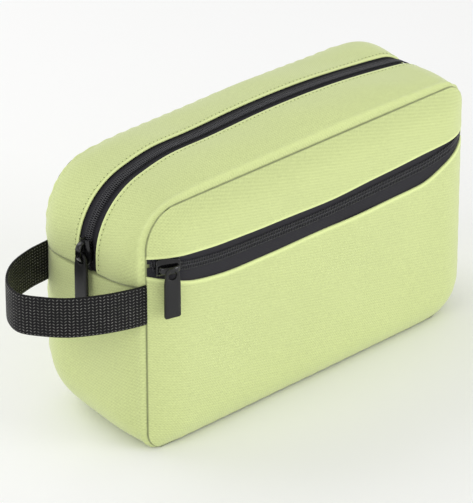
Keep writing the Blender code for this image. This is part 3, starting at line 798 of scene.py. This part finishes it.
def plain_lining(colours):
    """Thin polyester taffeta: a fine plain weave, 0.8 mm as drawn, with a dull shine."""
    made, tree, shader = new_material("grey_taffeta_lining", 0.55, Specular_IOR_Level=0.35)
    u_wave, v_wave = cloth_waves(tree, 0.8 * MM, 0.8 * MM)
    weave = weighted(tree, u_wave, 0.25, v_wave, 0.25, 0.5)
    yarns = (weave, tinted(colours.lining, 1.1))
    dress(tree, shader, tinted(colours.lining, 0.85), yarns, height=weave, strength=0.4, depth=0.05 * MM)
    return made


def pale_floor():
    """Matt white laminate, with a cloudiness too faint to distract."""
    made, tree, shader = new_material("pale_floor", 0.85, Specular_IOR_Level=0.1)
    place = add_node(tree, "ShaderNodeTexCoord").outputs["Object"]
    cloud = add_node(tree, "ShaderNodeTexNoise", {"Vector": place, "Scale": 3.0}).outputs[0]
    dress(tree, shader, linear("#FAFAF9"), (cloud, linear("#FCFCFC")))
    return made


MATERIALS = {}


def finish_of(name):
    """A material by its short name, made once."""
    makers = {
        "cloth": oxford_cloth,
        "thread": spun_thread,
        "tape": zip_tape,
        "coil": nylon_coil,
        "enamel": gloss_enamel,
        "satin": satin_enamel,
        "webbing": ribbed_webbing,
        "lining": plain_lining,
    }
    if name not in MATERIALS:
        MATERIALS[name] = makers[name](bpy.context.scene.bag_colours)
    return MATERIALS[name]


# ---------------------------------------------------------------- pieces


def make_piece(mesh, finish, stands_for=(), body="root", bend=None, thickness=None, bevel=None):
    """Puts a mesh in the scene, gives it its finish, attaches it to its body or, given a bend, bakes it in
    place, and hides the nodes it stands for.
    """
    made = bpy.data.objects.new(mesh.name, mesh)
    bpy.context.scene.collection.objects.link(made)
    mesh.materials.append(finish_of(finish))
    if bend:
        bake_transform(made)
    else:
        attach(made, body)
    if thickness:
        shell = made.modifiers.new("Cloth", "SOLIDIFY")
        shell.thickness = thickness
        shell.offset = -1
    if bevel:
        rounding = made.modifiers.new("Rounding", "BEVEL")
        rounding.width = bevel
        rounding.segments = 2
        rounding.limit_method = "ANGLE"
    if stands_for:
        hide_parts(*stands_for)
    return made


def mouth_bend(side, end):
    """The bend of a mouth piece: the body of its ends, its flap, and where the bend starts and ends."""
    flap = "front_flap" if side < 0 else "back_flap"
    return "root", flap, (end * BEND_START, 0, 0), (end * BEND_END, 0, 0)


def mouth_stretch(end, count):
    """Lengths along the mouth for its left or right half, meeting exactly at the middle."""
    if end < 0:
        return np.linspace(LOOP.left_gusset, LOOP.middle, count)
    return np.linspace(LOOP.middle, LOOP.right_gusset, count)


def seam_edge(side):
    """How far from the middle the band's cloth ends at the front or the back seam."""
    return (SEAM_Y if side < 0 else BACK_Y) - SEAM_GAP


def make_mouth():
    """The four half strips: cloth from the face seam to a folded hem beside the zip."""
    sizes = bpy.context.scene.bag_sizes
    back, depth = fold_rows()
    for side, end, name, half in MOUTH_PARTS:
        edge = seam_edge(side)
        body_rows = eased(40, edge, sizes.zip_show + FOLD_RADIUS)
        rows = side * np.concatenate([[edge], body_rows, sizes.zip_show + back])
        inward = np.concatenate([[ALLOWANCE], np.zeros(len(body_rows)), depth])
        # A painted highlight along the folded hem, and on the roll that stands up beside the seam
        painted_highlight = smooth_step(2.2 * MM, 0.2 * MM, body_rows - sizes.zip_show)
        painted_highlight = painted_highlight + 0.45 * hump(edge - body_rows, 2.4 * MM, 1.3 * MM)
        # Painted shade on the turned allowance and in the seam crease, and a painted highlight round the fold
        painted_light = np.concatenate([[-1], painted_highlight - crease(edge - body_rows), np.full(len(back), 0.9)])
        s = mouth_stretch(end, 160)[:, None]
        tuck, place = (0, 0) if end < 0 else (-1, len(s))
        points = LOOP.point(s, rows, inward, sizes.ripple)
        points = np.insert(points, place, LOOP.point(s[tuck], rows, inward + ALLOWANCE), 0)
        s = np.insert(s, place, s[tuck], 0)
        # Painted shade in the crease where the strip meets the gusset seam
        dark = crease(np.abs(s - s[tuck]))
        marks = painted_light * (1 - dark) - dark
        mesh = grid_mesh(f"{name}_mouth_cloth_{half}", points, stacked(rows, s), marks, flip=side > 0)
        nodes = (f"{name}_zip_strip_{half}", f"{name}_zip_strip_flap")
        make_piece(mesh, "cloth", nodes, bend=mouth_bend(side, end), thickness=CLOTH)


def make_main_tapes():
    """The zip's two tapes, each in two halves, set below the folded hems and a little higher by the teeth."""
    rows = np.linspace(bpy.context.scene.bag_sizes.zip_show + TAPE_TUCK, TAPE_EDGE, 11)
    sink = TAPE_DEPTH - 0.25 * MM * smooth_step(4 * MM, 2 * MM, rows)
    for side, end, name, half in MOUTH_PARTS:
        s = mouth_stretch(end, 160)[:, None]
        points = LOOP.point(s, side * rows, sink)
        mesh = grid_mesh(f"{name}_tape_{half}", points, stacked(s, rows), flip=side > 0)
        nodes = (f"{name}_zip_tape_{half}", f"{name}_zip_tape_flap")
        make_piece(mesh, "tape", nodes, bend=mouth_bend(side, end), thickness=TAPE)


def coil_shape():
    """One tooth across the zip with a plump head, and the thread that binds its tail to the tape."""
    points, quads = bead(1.25 * MM, 0.26 * MM, 0.8)
    parts = (
        (bead(3.3 * MM, 0.40 * MM, 0.95), (1.25 * MM, 0, 0)),
        (bead(1.0 * MM, 0.52 * MM, 0.8), (0, 0, 0.04 * MM)),
        ((points[:, [1, 0, 2]], quads[:, ::-1]), (2.0 * MM, 0, 0.33 * MM)),
    )
    return joined(*((shape[0] + shift, shape[1]) for shape, shift in parts))


def lay_teeth(name, places, across, out, nodes, bend=None):
    """The teeth of one tape at these places, each lying across the zip and facing out."""
    across = np.broadcast_to(np.array(across, float), out.shape)
    frames = np.stack([across, np.cross(out, across), out], 1)
    mesh = quad_mesh(name, *copies(coil_shape(), places, frames))
    make_piece(mesh, "coil", nodes, bend=bend)


def sew(name, surface, along, across, bend=None):
    """A row of stitches on a surface at these places, marked -1 for painted shade on the needle holes and 0
    on the thread.
    """
    sizes = bpy.context.scene.bag_sizes
    where = along, across, -STITCH_LIFT, sizes.ripple
    shape = stitch_shape(sizes.stitch_pitch)
    points, quads = copies(shape, surface(*where), axes_on(surface, *where))
    # The needle-hole beads, which carry painted shade
    hole_shade = shape[0][:, 0] > sizes.stitch_pitch * 0.385
    mesh = quad_mesh(name, points, quads, painted_light=np.tile(-hole_shade.astype(float), len(along)))
    make_piece(mesh, "thread", bend=bend)


def make_main_coils():
    """The coil's teeth: side by side along the crown, those of one tape between those of the other."""
    pitch = bpy.context.scene.bag_sizes.tooth_pitch
    for side, end, name, half in MOUTH_PARTS:
        start, stop = mouth_stretch(end, 2)
        shift = 0.0 if side < 0 else pitch / 2
        s = np.arange(start + shift + 0.4 * MM, stop, pitch)
        nodes = (f"{name}_zip_coil_{half}", f"{name}_zip_coil_flap")
        places = LOOP.point(s, side * TEETH_OFFSET, TEETH_DEPTH)
        lay_teeth(f"{name}_coil_{half}", places, (0, side, 0), LOOP.out(s), nodes, mouth_bend(side, end))


def make_mouth_stitching():
    """One row of topstitching beside each folded hem of the mouth."""
    sizes = bpy.context.scene.bag_sizes
    for side, end, name, half in MOUTH_PARTS:
        start, stop = mouth_stretch(end, 2)
        s = np.arange(start + 2 * MM, stop - 1 * MM, sizes.stitch_pitch)
        y = np.full_like(s, side * (sizes.zip_show + 2.6 * MM))
        sew(f"{name}_mouth_stitching_{half}", LOOP.point, s, y, mouth_bend(side, end))


def turned_under(points, sewn):
    """A face's grid with its sewn outer rows repeated, turned in towards the middle as a seam allowance.

    Sewn has, for each way across the grid, whether its first and its last row are sewn.
    """
    centre = points.reshape(-1, 3).mean(0)
    for axis, ends in enumerate(sewn):
        for last, is_sewn in enumerate(ends):
            if is_sewn:
                edge = np.take(points, [-last], axis)
                turned = edge + unit((centre - edge) * (1, 0, 1)) * ALLOWANCE
                points = np.concatenate([points, turned] if last else [turned, points], axis)
    return points


def face_marks(share, z, side):
    """Painted shade in a face's seam creases: -1 at its seam, fading out over the width of a crease."""
    share, z = np.broadcast_arrays(share, z)
    left, right = half_widths(z, side)
    x = share * np.where(share < 0, left, right)
    return -crease(np.minimum(np.where(share < 0, left + x, right - x), np.minimum(z, SEAM_TOP - z)))


def make_face(name, node, side, share, z, sewn, depth=0, painted_highlight=0):
    """One face of cloth from the shares and heights of its grid, its depths, its painted highlight, and its
    sewn sides.
    """
    sizes = bpy.context.scene.bag_sizes
    crown = sizes.front_crown if side < 0 else sizes.back_crown
    points = turned_under(face_point(side, share, z, crown, depth, sizes.ripple), sewn)
    marks = np.pad(face_marks(share, z, side) + painted_highlight, sewn, mode="edge")
    mesh = grid_mesh(name, points, points[..., [0, 2]], marks, flip=side < 0)
    make_piece(mesh, "cloth", (node,), thickness=CLOTH)


def make_faces():
    """Back panel, pocket panel and front yoke; the last two end at the pocket zip in folded hems."""
    share = eased(150)[:, None]
    make_face("back_cloth", "back_panel", 1, share, eased(90, CLOTH, SEAM_TOP), ((1, 1), (1, 1)))

    back, depth = fold_rows()
    edge = pocket_lip(share)
    t = np.sin(np.linspace(0, np.pi / 2, 74))
    z = np.concatenate([CLOTH + t * (edge - FOLD_RADIUS - CLOTH), edge - back], 1)
    # A painted highlight along the pocket's folded hem
    painted_highlight = smooth_step(2.4 * MM, 0.2 * MM, edge - z)
    inward = np.concatenate([np.zeros(len(t)), depth])
    make_face("pocket_cloth", "pocket_panel", -1, share, z, ((1, 1), (1, 0)), inward, painted_highlight)

    edge = yoke_edge(share)
    t = eased(40, 0, 1)
    z = np.concatenate([edge + back[::-1], t * (SEAM_TOP - edge - FOLD_RADIUS) + edge + FOLD_RADIUS], 1)
    # A painted highlight along the yoke's folded hem
    painted_highlight = smooth_step(2.4 * MM, 0.2 * MM, z - edge)
    inward = np.concatenate([depth[::-1], np.zeros(len(t))])
    make_face("yoke_cloth", "front_yoke", -1, share, z, ((1, 1), (0, 1)), inward, painted_highlight)


def make_base():
    """The base band: up both ends, round soft corners, and flat where the bag stands."""
    s = np.linspace(LOOP.right_gusset, LOOP.left_gusset + LOOP.at[-1], 320)[:, None]
    y = eased(64, -seam_edge(-1), seam_edge(1))
    edge = np.minimum(np.minimum(y + seam_edge(-1), seam_edge(1) - y), np.minimum(s - s[0], s[-1] - s))
    # Painted shade in the seam creases all round the band
    marks = np.pad(-crease(edge), 1, mode="edge")
    inward = np.pad(np.zeros(edge.shape), 1, constant_values=ALLOWANCE)
    s, y = np.pad(s, ((1, 1), (0, 0)), mode="edge"), np.pad(y, 1, mode="edge")
    points = LOOP.point(s, y, inward, bpy.context.scene.bag_sizes.ripple)
    mesh = grid_mesh("base_cloth", points, stacked(y, s), marks)
    make_piece(mesh, "cloth", ("base_band",), thickness=CLOTH)


def make_pocket_zip():
    """Both tapes and both rows of teeth of the pocket zip, which follow its opening across the front."""
    sizes = bpy.context.scene.bag_sizes
    share = eased(120, -0.997, 0.997)[:, None]
    for name, sign, cover in (("upper", 1, yoke_edge(share)), ("lower", -1, pocket_lip(share))):
        near = pocket_zip_line(share) + sign * TAPE_EDGE
        z = near + np.linspace(0, 1, 8) * (cover + sign * TAPE_TUCK - near)
        points = face_point(-1, share, z, sizes.front_crown, TAPE_DEPTH)
        mesh = grid_mesh(f"pocket_tape_{name}", points, points[..., [0, 2]], flip=sign > 0)
        make_piece(mesh, "tape", (f"pocket_zip_tape_{name}",), thickness=TAPE)
    for name, sign, shift in (("upper", 1, 0.0), ("lower", -1, sizes.tooth_pitch / 2)):
        reach = HALF_WIDTH - 2.5 * MM
        x = np.arange(shift - reach, reach, sizes.tooth_pitch)
        where = x, pocket_zip_line(x / HALF_WIDTH) + sign * TEETH_OFFSET, TEETH_DEPTH
        out = axes_on(front_point, *where)[:, 2]
        lay_teeth(f"pocket_coil_{name}", front_point(*where), (0, 0, sign), out, (f"pocket_zip_coil_{name}",))


def make_pocket_stitching():
    """Topstitching above the pocket zip, on the yoke, and below it, on the pocket's lip."""
    x = np.arange(-HALF_WIDTH + 5 * MM, HALF_WIDTH - 4 * MM, bpy.context.scene.bag_sizes.stitch_pitch)
    sew("yoke_stitching", front_point, x, yoke_edge(x / HALF_WIDTH) + 3.6 * MM)
    sew("lip_stitching", front_point, x, pocket_lip(x / HALF_WIDTH) - 2.6 * MM)


def slider_axes(kind):
    """Origin on the top of the coils, and the directions nose, side and out, of a slider at rest."""
    low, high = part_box(f"{kind}_slider_cap")
    if kind == "main":
        place = (-CROWN_SIDE - 1.2 * MM, 0, (low[2] + high[2]) / 2 + 2.6 * MM)
        return np.array(place), np.array([[0, 0, -1], [0, -1, 0], [-1, 0, 0]], float)
    x = (low[0] + high[0]) / 2 + 2.6 * MM
    place = front_point(x, pocket_zip_line(x / HALF_WIDTH), 0.3 * MM)
    c, t = math.cos(math.radians(SLIDER_LEAN)), math.sin(math.radians(SLIDER_LEAN))
    return place, np.array([[-c, t, 0], [0, 0, -1], [-t, -c, 0]])


def placed(points, origin, axes):
    """Points in a slider's own axes, carried to where it sits."""
    return origin + points @ axes


def plate_grid(length, width, top, droop):
    """A slider plate: wide at the nose, narrow at the tail, with rounded corners and sides that droop."""
    u = eased(21)[:, None]
    v = eased(17)
    taper = 1 - 0.22 * smooth_step(0.2, -0.9, u)
    half = width / 2 * taper * (0.72 + 0.28 * (1 - np.abs(u) ** 6) ** (1 / 3))
    x = length / 2 * u * (1 - 0.06 * v**2)
    return stacked(x, half * v, top - droop * smooth_step(0.55, 1.0, np.abs(v)))


def make_slider(kind):
    """A slider: a plate above the teeth and one below, and a cap arched over them for the puller."""
    origin, axes = slider_axes(kind)
    body = f"{kind}_slider"
    for name, (length, width, top, droop, thickness, rounding) in SLIDER_PLATES.items():
        plate = placed(plate_grid(length, width, top, droop), origin, axes)
        mesh = grid_mesh(f"{kind}_slider_{name}", plate)
        nodes = (f"{kind}_slider_body",) if name == "plate" else ()
        make_piece(mesh, "enamel", nodes, body, thickness=thickness, bevel=rounding)

    angle = np.linspace(-0.12, np.pi + 0.12, 41)
    arch_x = -5.6 * MM * signed_power(np.cos(angle), 0.8)
    path = stacked(arch_x, 0, 0.9 * MM + 4.6 * MM * signed_power(np.sin(angle), 0.62))
    side = np.broadcast_to((0.0, 1.0, 0.0), path.shape)
    up = np.cross(unit(np.gradient(path, axis=0)), side)
    swell = 0.86 + 0.14 * np.sin(np.clip(angle, 0, np.pi))[:, None]
    section = rounded_section(4.2 * MM, 1.6 * MM, 20, 2.5)
    arch = placed(path, origin, axes), (side * swell) @ axes, up @ axes
    mesh = swept_mesh(f"{kind}_slider_arch", *arch, section)
    make_piece(mesh, "enamel", (f"{kind}_slider_cap",), body)


def puller_outline():
    """The puller's edge round its eye: a half circle on top, flaring to a straight tab with small corners."""
    side, low = PULLER_WIDTH / 2, PULLER_TOP - PULLER_LENGTH
    top = arc((0, 0), PULLER_TOP, 0, 180, 24)
    flare_z = np.linspace(-0.4 * MM, -6 * MM, 12)
    flare_x = PULLER_TOP + (side - PULLER_TOP) * smooth_step(0, 1, flare_z / (-6 * MM))
    straight_z = np.linspace(-8 * MM, low + 2 * PULLER_CORNER, 12)
    corner = arc((PULLER_CORNER - side, low + PULLER_CORNER), PULLER_CORNER, 180, 270, 5)
    half = np.concatenate([stacked(-flare_x, flare_z), stacked(-side, straight_z), corner])
    return np.concatenate([top, half, half[::-1] * (-1, 1)])


def make_puller(kind, turn):
    """The puller, turned about its own length: a profile that closes on itself, carried round the eye.

    The profile goes from the hole to the outer edge on one face, and back on the other.
    """
    joint = JOINTS["main_puller_lift" if kind == "main" else "pocket_puller_swing"]
    outer = puller_outline()
    heading = np.arctan2(outer[:, 1], outer[:, 0])
    hole = PULLER_HOLE * stacked(np.cos(heading), np.sin(heading))
    steps = np.linspace(0, np.pi / 2, 5)
    reach = np.linalg.norm(outer - hole, axis=1)[:, None]
    rim = PULLER_ROUNDING * (1 - np.sin(steps))
    rise = PULLER_THICK / 2 - PULLER_ROUNDING * (1 - np.cos(steps))
    inset = np.concatenate([rim[::-1], [0], -rim])
    height = np.concatenate([rise[::-1], [PULLER_THICK / 2], rise])
    share = np.where(np.arange(len(inset)) <= len(steps), inset / reach, 1 + inset / reach)
    share[:, len(steps)] = 0.5
    share = np.concatenate([share, share[:, ::-1]], 1)
    height = np.concatenate([height, -height[::-1]])
    flat = hole[:, None] * (1 - share[..., None]) + outer[:, None] * share[..., None]
    local = stacked(flat[..., 0], -height, flat[..., 1])
    c, s = math.cos(turn), math.sin(turn)
    low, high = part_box(f"{kind}_puller")
    slider = slider_axes(kind)[0]
    if kind == "main":
        centre = (slider[0] - 3.2 * MM, (low[1] + high[1]) / 2, high[2] - 3.0 * MM)
    else:
        centre = ((low[0] + high[0]) / 2 - 3.6 * MM, joint["pos_m"][1] - 0.5 * MM, slider[2] - 2.4 * MM)
    points = centre + local @ np.array([[c, s, 0], [-s, c, 0], [0, 0, 1]])
    quads = grid_quads(*points.shape[:2], True, True)
    mesh = quad_mesh(f"{kind}_puller_tab", points, quads[:, ::-1])
    make_piece(mesh, "satin", (f"{kind}_puller",), joint["child"])


def handle_route():
    """The middle of the webbing in plan, from the front seam round to the back seam, by Catmull-Rom spans."""
    plan = MM * np.array(HANDLE_PLAN)
    ends = np.concatenate([[2 * plan[0] - plan[1]], plan, [2 * plan[-1] - plan[-2]]])
    t = np.linspace(0, 1, 13)[:-1, None, None]
    p, q, r, s = (ends[i : len(ends) - 3 + i][None] for i in range(4))
    spans = 0.5 * (2 * q + (r - p) * t + (2 * p - 5 * q + 4 * r - s) * t**2 + (3 * q - p - 3 * r + s) * t**3)
    return np.concatenate([spans.transpose(1, 0, 2).reshape(-1, 2), plan[-1:]])


def make_handle():
    """The webbing: a flat rounded section carried round the loop, in two halves that meet at the far end."""
    sizes = bpy.context.scene.bag_sizes
    route = handle_route()
    low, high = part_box("handle_webbing")
    at = lengths(route)
    path = stacked(route[:, 0], route[:, 1], (low[2] + high[2]) / 2)
    up = np.broadcast_to((0.0, 0.0, 1.0), path.shape)
    out = np.cross(up, unit(np.gradient(path, at, axis=0)))
    section = rounded_section(sizes.webbing_width, sizes.webbing_thickness, 64, 7.0)
    middle = int(np.argmin(route[:, 0]))
    for name, part in (("front", slice(0, middle + 1)), ("back", slice(middle, None))):
        uv = stacked(at[part, None], section[:, 0])
        mesh = swept_mesh(f"handle_{name}", path[part], up[part], out[part], section, uv)
        make_piece(mesh, "webbing", ("handle_webbing",), bend=("root", "handle", *HANDLE_BEND))


def make_linings():
    """Front and back linings, gently slack, the lining of base and ends, and the two bindings."""
    share = eased(60, -0.98, 0.98)[:, None]
    z = np.broadcast_to(eased(40, LINING_INSET, SEAM_TOP - LINING_INSET), (60, 40))
    for side, name, node in ((-1, "front_lining", "pocket_inner_wall"), (1, "back_lining", "back_lining")):
        left, right = half_widths(z, side)
        x = share * np.where(share < 0, left, right)
        slack = 0.5 * MM * ripples(x * 0.8, z) * (1 - share**8)
        points = stacked(x, side * (seam_edge(side) - 0.4 * MM) + slack, z)
        mesh = grid_mesh(f"{name}_cloth", points, points[..., [0, 2]], flip=side < 0)
        make_piece(mesh, "lining", (node,), thickness=LINING)
    s = np.linspace(LOOP.right_gusset + 1 * MM, LOOP.left_gusset + LOOP.at[-1] - 1 * MM, 160)[:, None]
    y = np.linspace(BAND_LINING_INSET - seam_edge(-1), seam_edge(1) - BAND_LINING_INSET, 30)
    mesh = grid_mesh("band_lining_cloth", LOOP.point(s, y, BAND_LINING_DEPTH, 0.3 * MM), stacked(y, s))
    make_piece(mesh, "lining", ("band_lining",), thickness=LINING)
    for side, name in FACES:
        make_binding(side, name)


def make_binding(side, name):
    """Binding tape folded over a raw seam edge: a flat closed section carried round inside the seam."""
    seam = LOOP.seams[0 if side < 0 else 1]
    at = lengths(seam)
    s = np.linspace(0, at[-1], 260, endpoint=False)
    plan = stacked(*(np.interp(s, at, seam[:, k]) for k in (0, 1)))
    tangent = unit(np.roll(plan, -1, 0) - np.roll(plan, 1, 0))
    inward = stacked(tangent[:, 1], 0, -tangent[:, 0])
    path = stacked(plan[:, 0], side * (seam_edge(side) - 2 * MM), plan[:, 1]) + inward * BINDING_INSET
    across = np.broadcast_to((0.0, 1.0, 0.0), path.shape)
    section = rounded_section(BINDING_WIDTH, BINDING_THICK, 16, 3.0)
    uv = stacked(s[:, None], section[:, 0])
    mesh = swept_mesh(f"{name}_seam_binding_tape", path, inward, across, section, uv, closed=True)
    make_piece(mesh, "tape", (f"{name}_seam_binding",))


# ---------------------------------------------------------------- stage


def make_stage():
    """A pale floor under an even white sky, three soft lamps aimed at the bag, and the camera."""
    corners = [(x * FLOOR_HALF, y * FLOOR_HALF, 0) for x, y in ((-1, -1), (1, -1), (1, 1), (-1, 1))]
    floor = bpy.data.meshes.new("floor")
    floor.from_pydata(corners, [], [(0, 1, 2, 3)])
    floor.materials.append(pale_floor())
    ground = bpy.data.objects.new("floor", floor)
    bpy.context.scene.collection.objects.link(ground)

    world = bpy.data.worlds.new("studio")
    bpy.context.scene.world = world
    world.use_nodes = True
    sky = world.node_tree.nodes["Background"].inputs
    sky["Color"].default_value = (1, 1, 1, 1)
    sky["Strength"].default_value = WORLD_STRENGTH
    for name, place, width, power in LAMPS:
        lamp = bpy.data.lights.new(name, "AREA")
        lamp.size = width
        lamp.energy = power
        aim(name, lamp, place, LAMPS_AIM)

    camera = bpy.data.cameras.new("camera")
    camera.lens = LENS
    camera.sensor_width = 36
    camera.clip_end = 20
    bpy.context.scene.camera = aim("camera", camera, CAMERA_PLACE, CAMERA_AIM)
    bpy.context.scene.view_settings.view_transform = "Standard"


def aim(name, data, place, target):
    """Puts a lamp or a camera at a place, looking at a target."""
    holder = bpy.data.objects.new(name, data)
    holder.location = place
    holder.rotation_euler = (Vector(target) - Vector(place)).to_track_quat("-Z", "Y").to_euler()
    bpy.context.scene.collection.objects.link(holder)
    return holder


# ---------------------------------------------------------------- operators


class BAG_OT_cloth(bpy.types.Operator):
    """Add the outer cloth: mouth strips, faces and base band"""

    bl_idname = "bag.cloth"
    bl_label = "Outer cloth"

    def execute(self, context):
        make_mouth()
        make_faces()
        make_base()
        return {"FINISHED"}


class BAG_OT_main_zip(bpy.types.Operator):
    """Add the main zip's tapes and teeth"""

    bl_idname = "bag.main_zip"
    bl_label = "Main zip"

    def execute(self, context):
        make_main_tapes()
        make_main_coils()
        return {"FINISHED"}


class BAG_OT_pocket_zip(bpy.types.Operator):
    """Add the pocket zip's tapes and teeth"""

    bl_idname = "bag.pocket_zip"
    bl_label = "Pocket zip"

    def execute(self, context):
        make_pocket_zip()
        return {"FINISHED"}


class BAG_OT_stitching(bpy.types.Operator):
    """Add the rows of topstitching"""

    bl_idname = "bag.stitching"
    bl_label = "Topstitching"

    def execute(self, context):
        make_mouth_stitching()
        make_pocket_stitching()
        return {"FINISHED"}


class BAG_OT_sliders(bpy.types.Operator):
    """Add both sliders and their pullers"""

    bl_idname = "bag.sliders"
    bl_label = "Sliders and pullers"

    def execute(self, context):
        for kind, turn in (("main", math.radians(-90)), ("pocket", math.radians(-15))):
            make_slider(kind)
            make_puller(kind, turn)
        return {"FINISHED"}


class BAG_OT_handle(bpy.types.Operator):
    """Add the webbing handle"""

    bl_idname = "bag.handle"
    bl_label = "Handle"

    def execute(self, context):
        make_handle()
        return {"FINISHED"}


class BAG_OT_lining(bpy.types.Operator):
    """Add the linings and the seam bindings"""

    bl_idname = "bag.lining"
    bl_label = "Lining"

    def execute(self, context):
        make_linings()
        return {"FINISHED"}


class BAG_OT_stage(bpy.types.Operator):
    """Add the floor, the lights and the camera"""

    bl_idname = "bag.stage"
    bl_label = "Stage"

    def execute(self, context):
        make_stage()
        return {"FINISHED"}


OPERATORS = (
    BAG_OT_stage,
    BAG_OT_cloth,
    BAG_OT_main_zip,
    BAG_OT_pocket_zip,
    BAG_OT_stitching,
    BAG_OT_sliders,
    BAG_OT_handle,
    BAG_OT_lining,
)


class BAG_PT_panel(bpy.types.Panel):
    """Buttons for the bag's pieces"""

    bl_idname = "BAG_PT_panel"
    bl_label = "Toiletry bag"
    bl_space_type = "VIEW_3D"
    bl_region_type = "UI"
    bl_category = "Bag"

    def draw(self, context):
        for group in (context.scene.bag_sizes, context.scene.bag_colours):
            for key in group.__annotations__:
                self.layout.prop(group, key)
        for operator in OPERATORS:
            self.layout.operator(operator.bl_idname)


CLASSES = (BagSizes, BagColours, *OPERATORS, BAG_PT_panel)


def register():
    """Registers every class, and hangs both groups of settings on the scene."""
    for one in CLASSES:
        bpy.utils.register_class(one)
    bpy.types.Scene.bag_sizes = bpy.props.PointerProperty(type=BagSizes)
    bpy.types.Scene.bag_colours = bpy.props.PointerProperty(type=BagColours)


def unregister():
    """Takes the settings off the scene, and unregisters every class."""
    del bpy.types.Scene.bag_colours
    del bpy.types.Scene.bag_sizes
    for one in reversed(CLASSES):
        bpy.utils.unregister_class(one)


LOOP = bag_loop()


def main():
    """Registers the add-on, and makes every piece."""
    register()
    for operator in OPERATORS:
        group, name = operator.bl_idname.split(".")
        getattr(getattr(bpy.ops, group), name)()


if __name__ == "__main__":
    main()
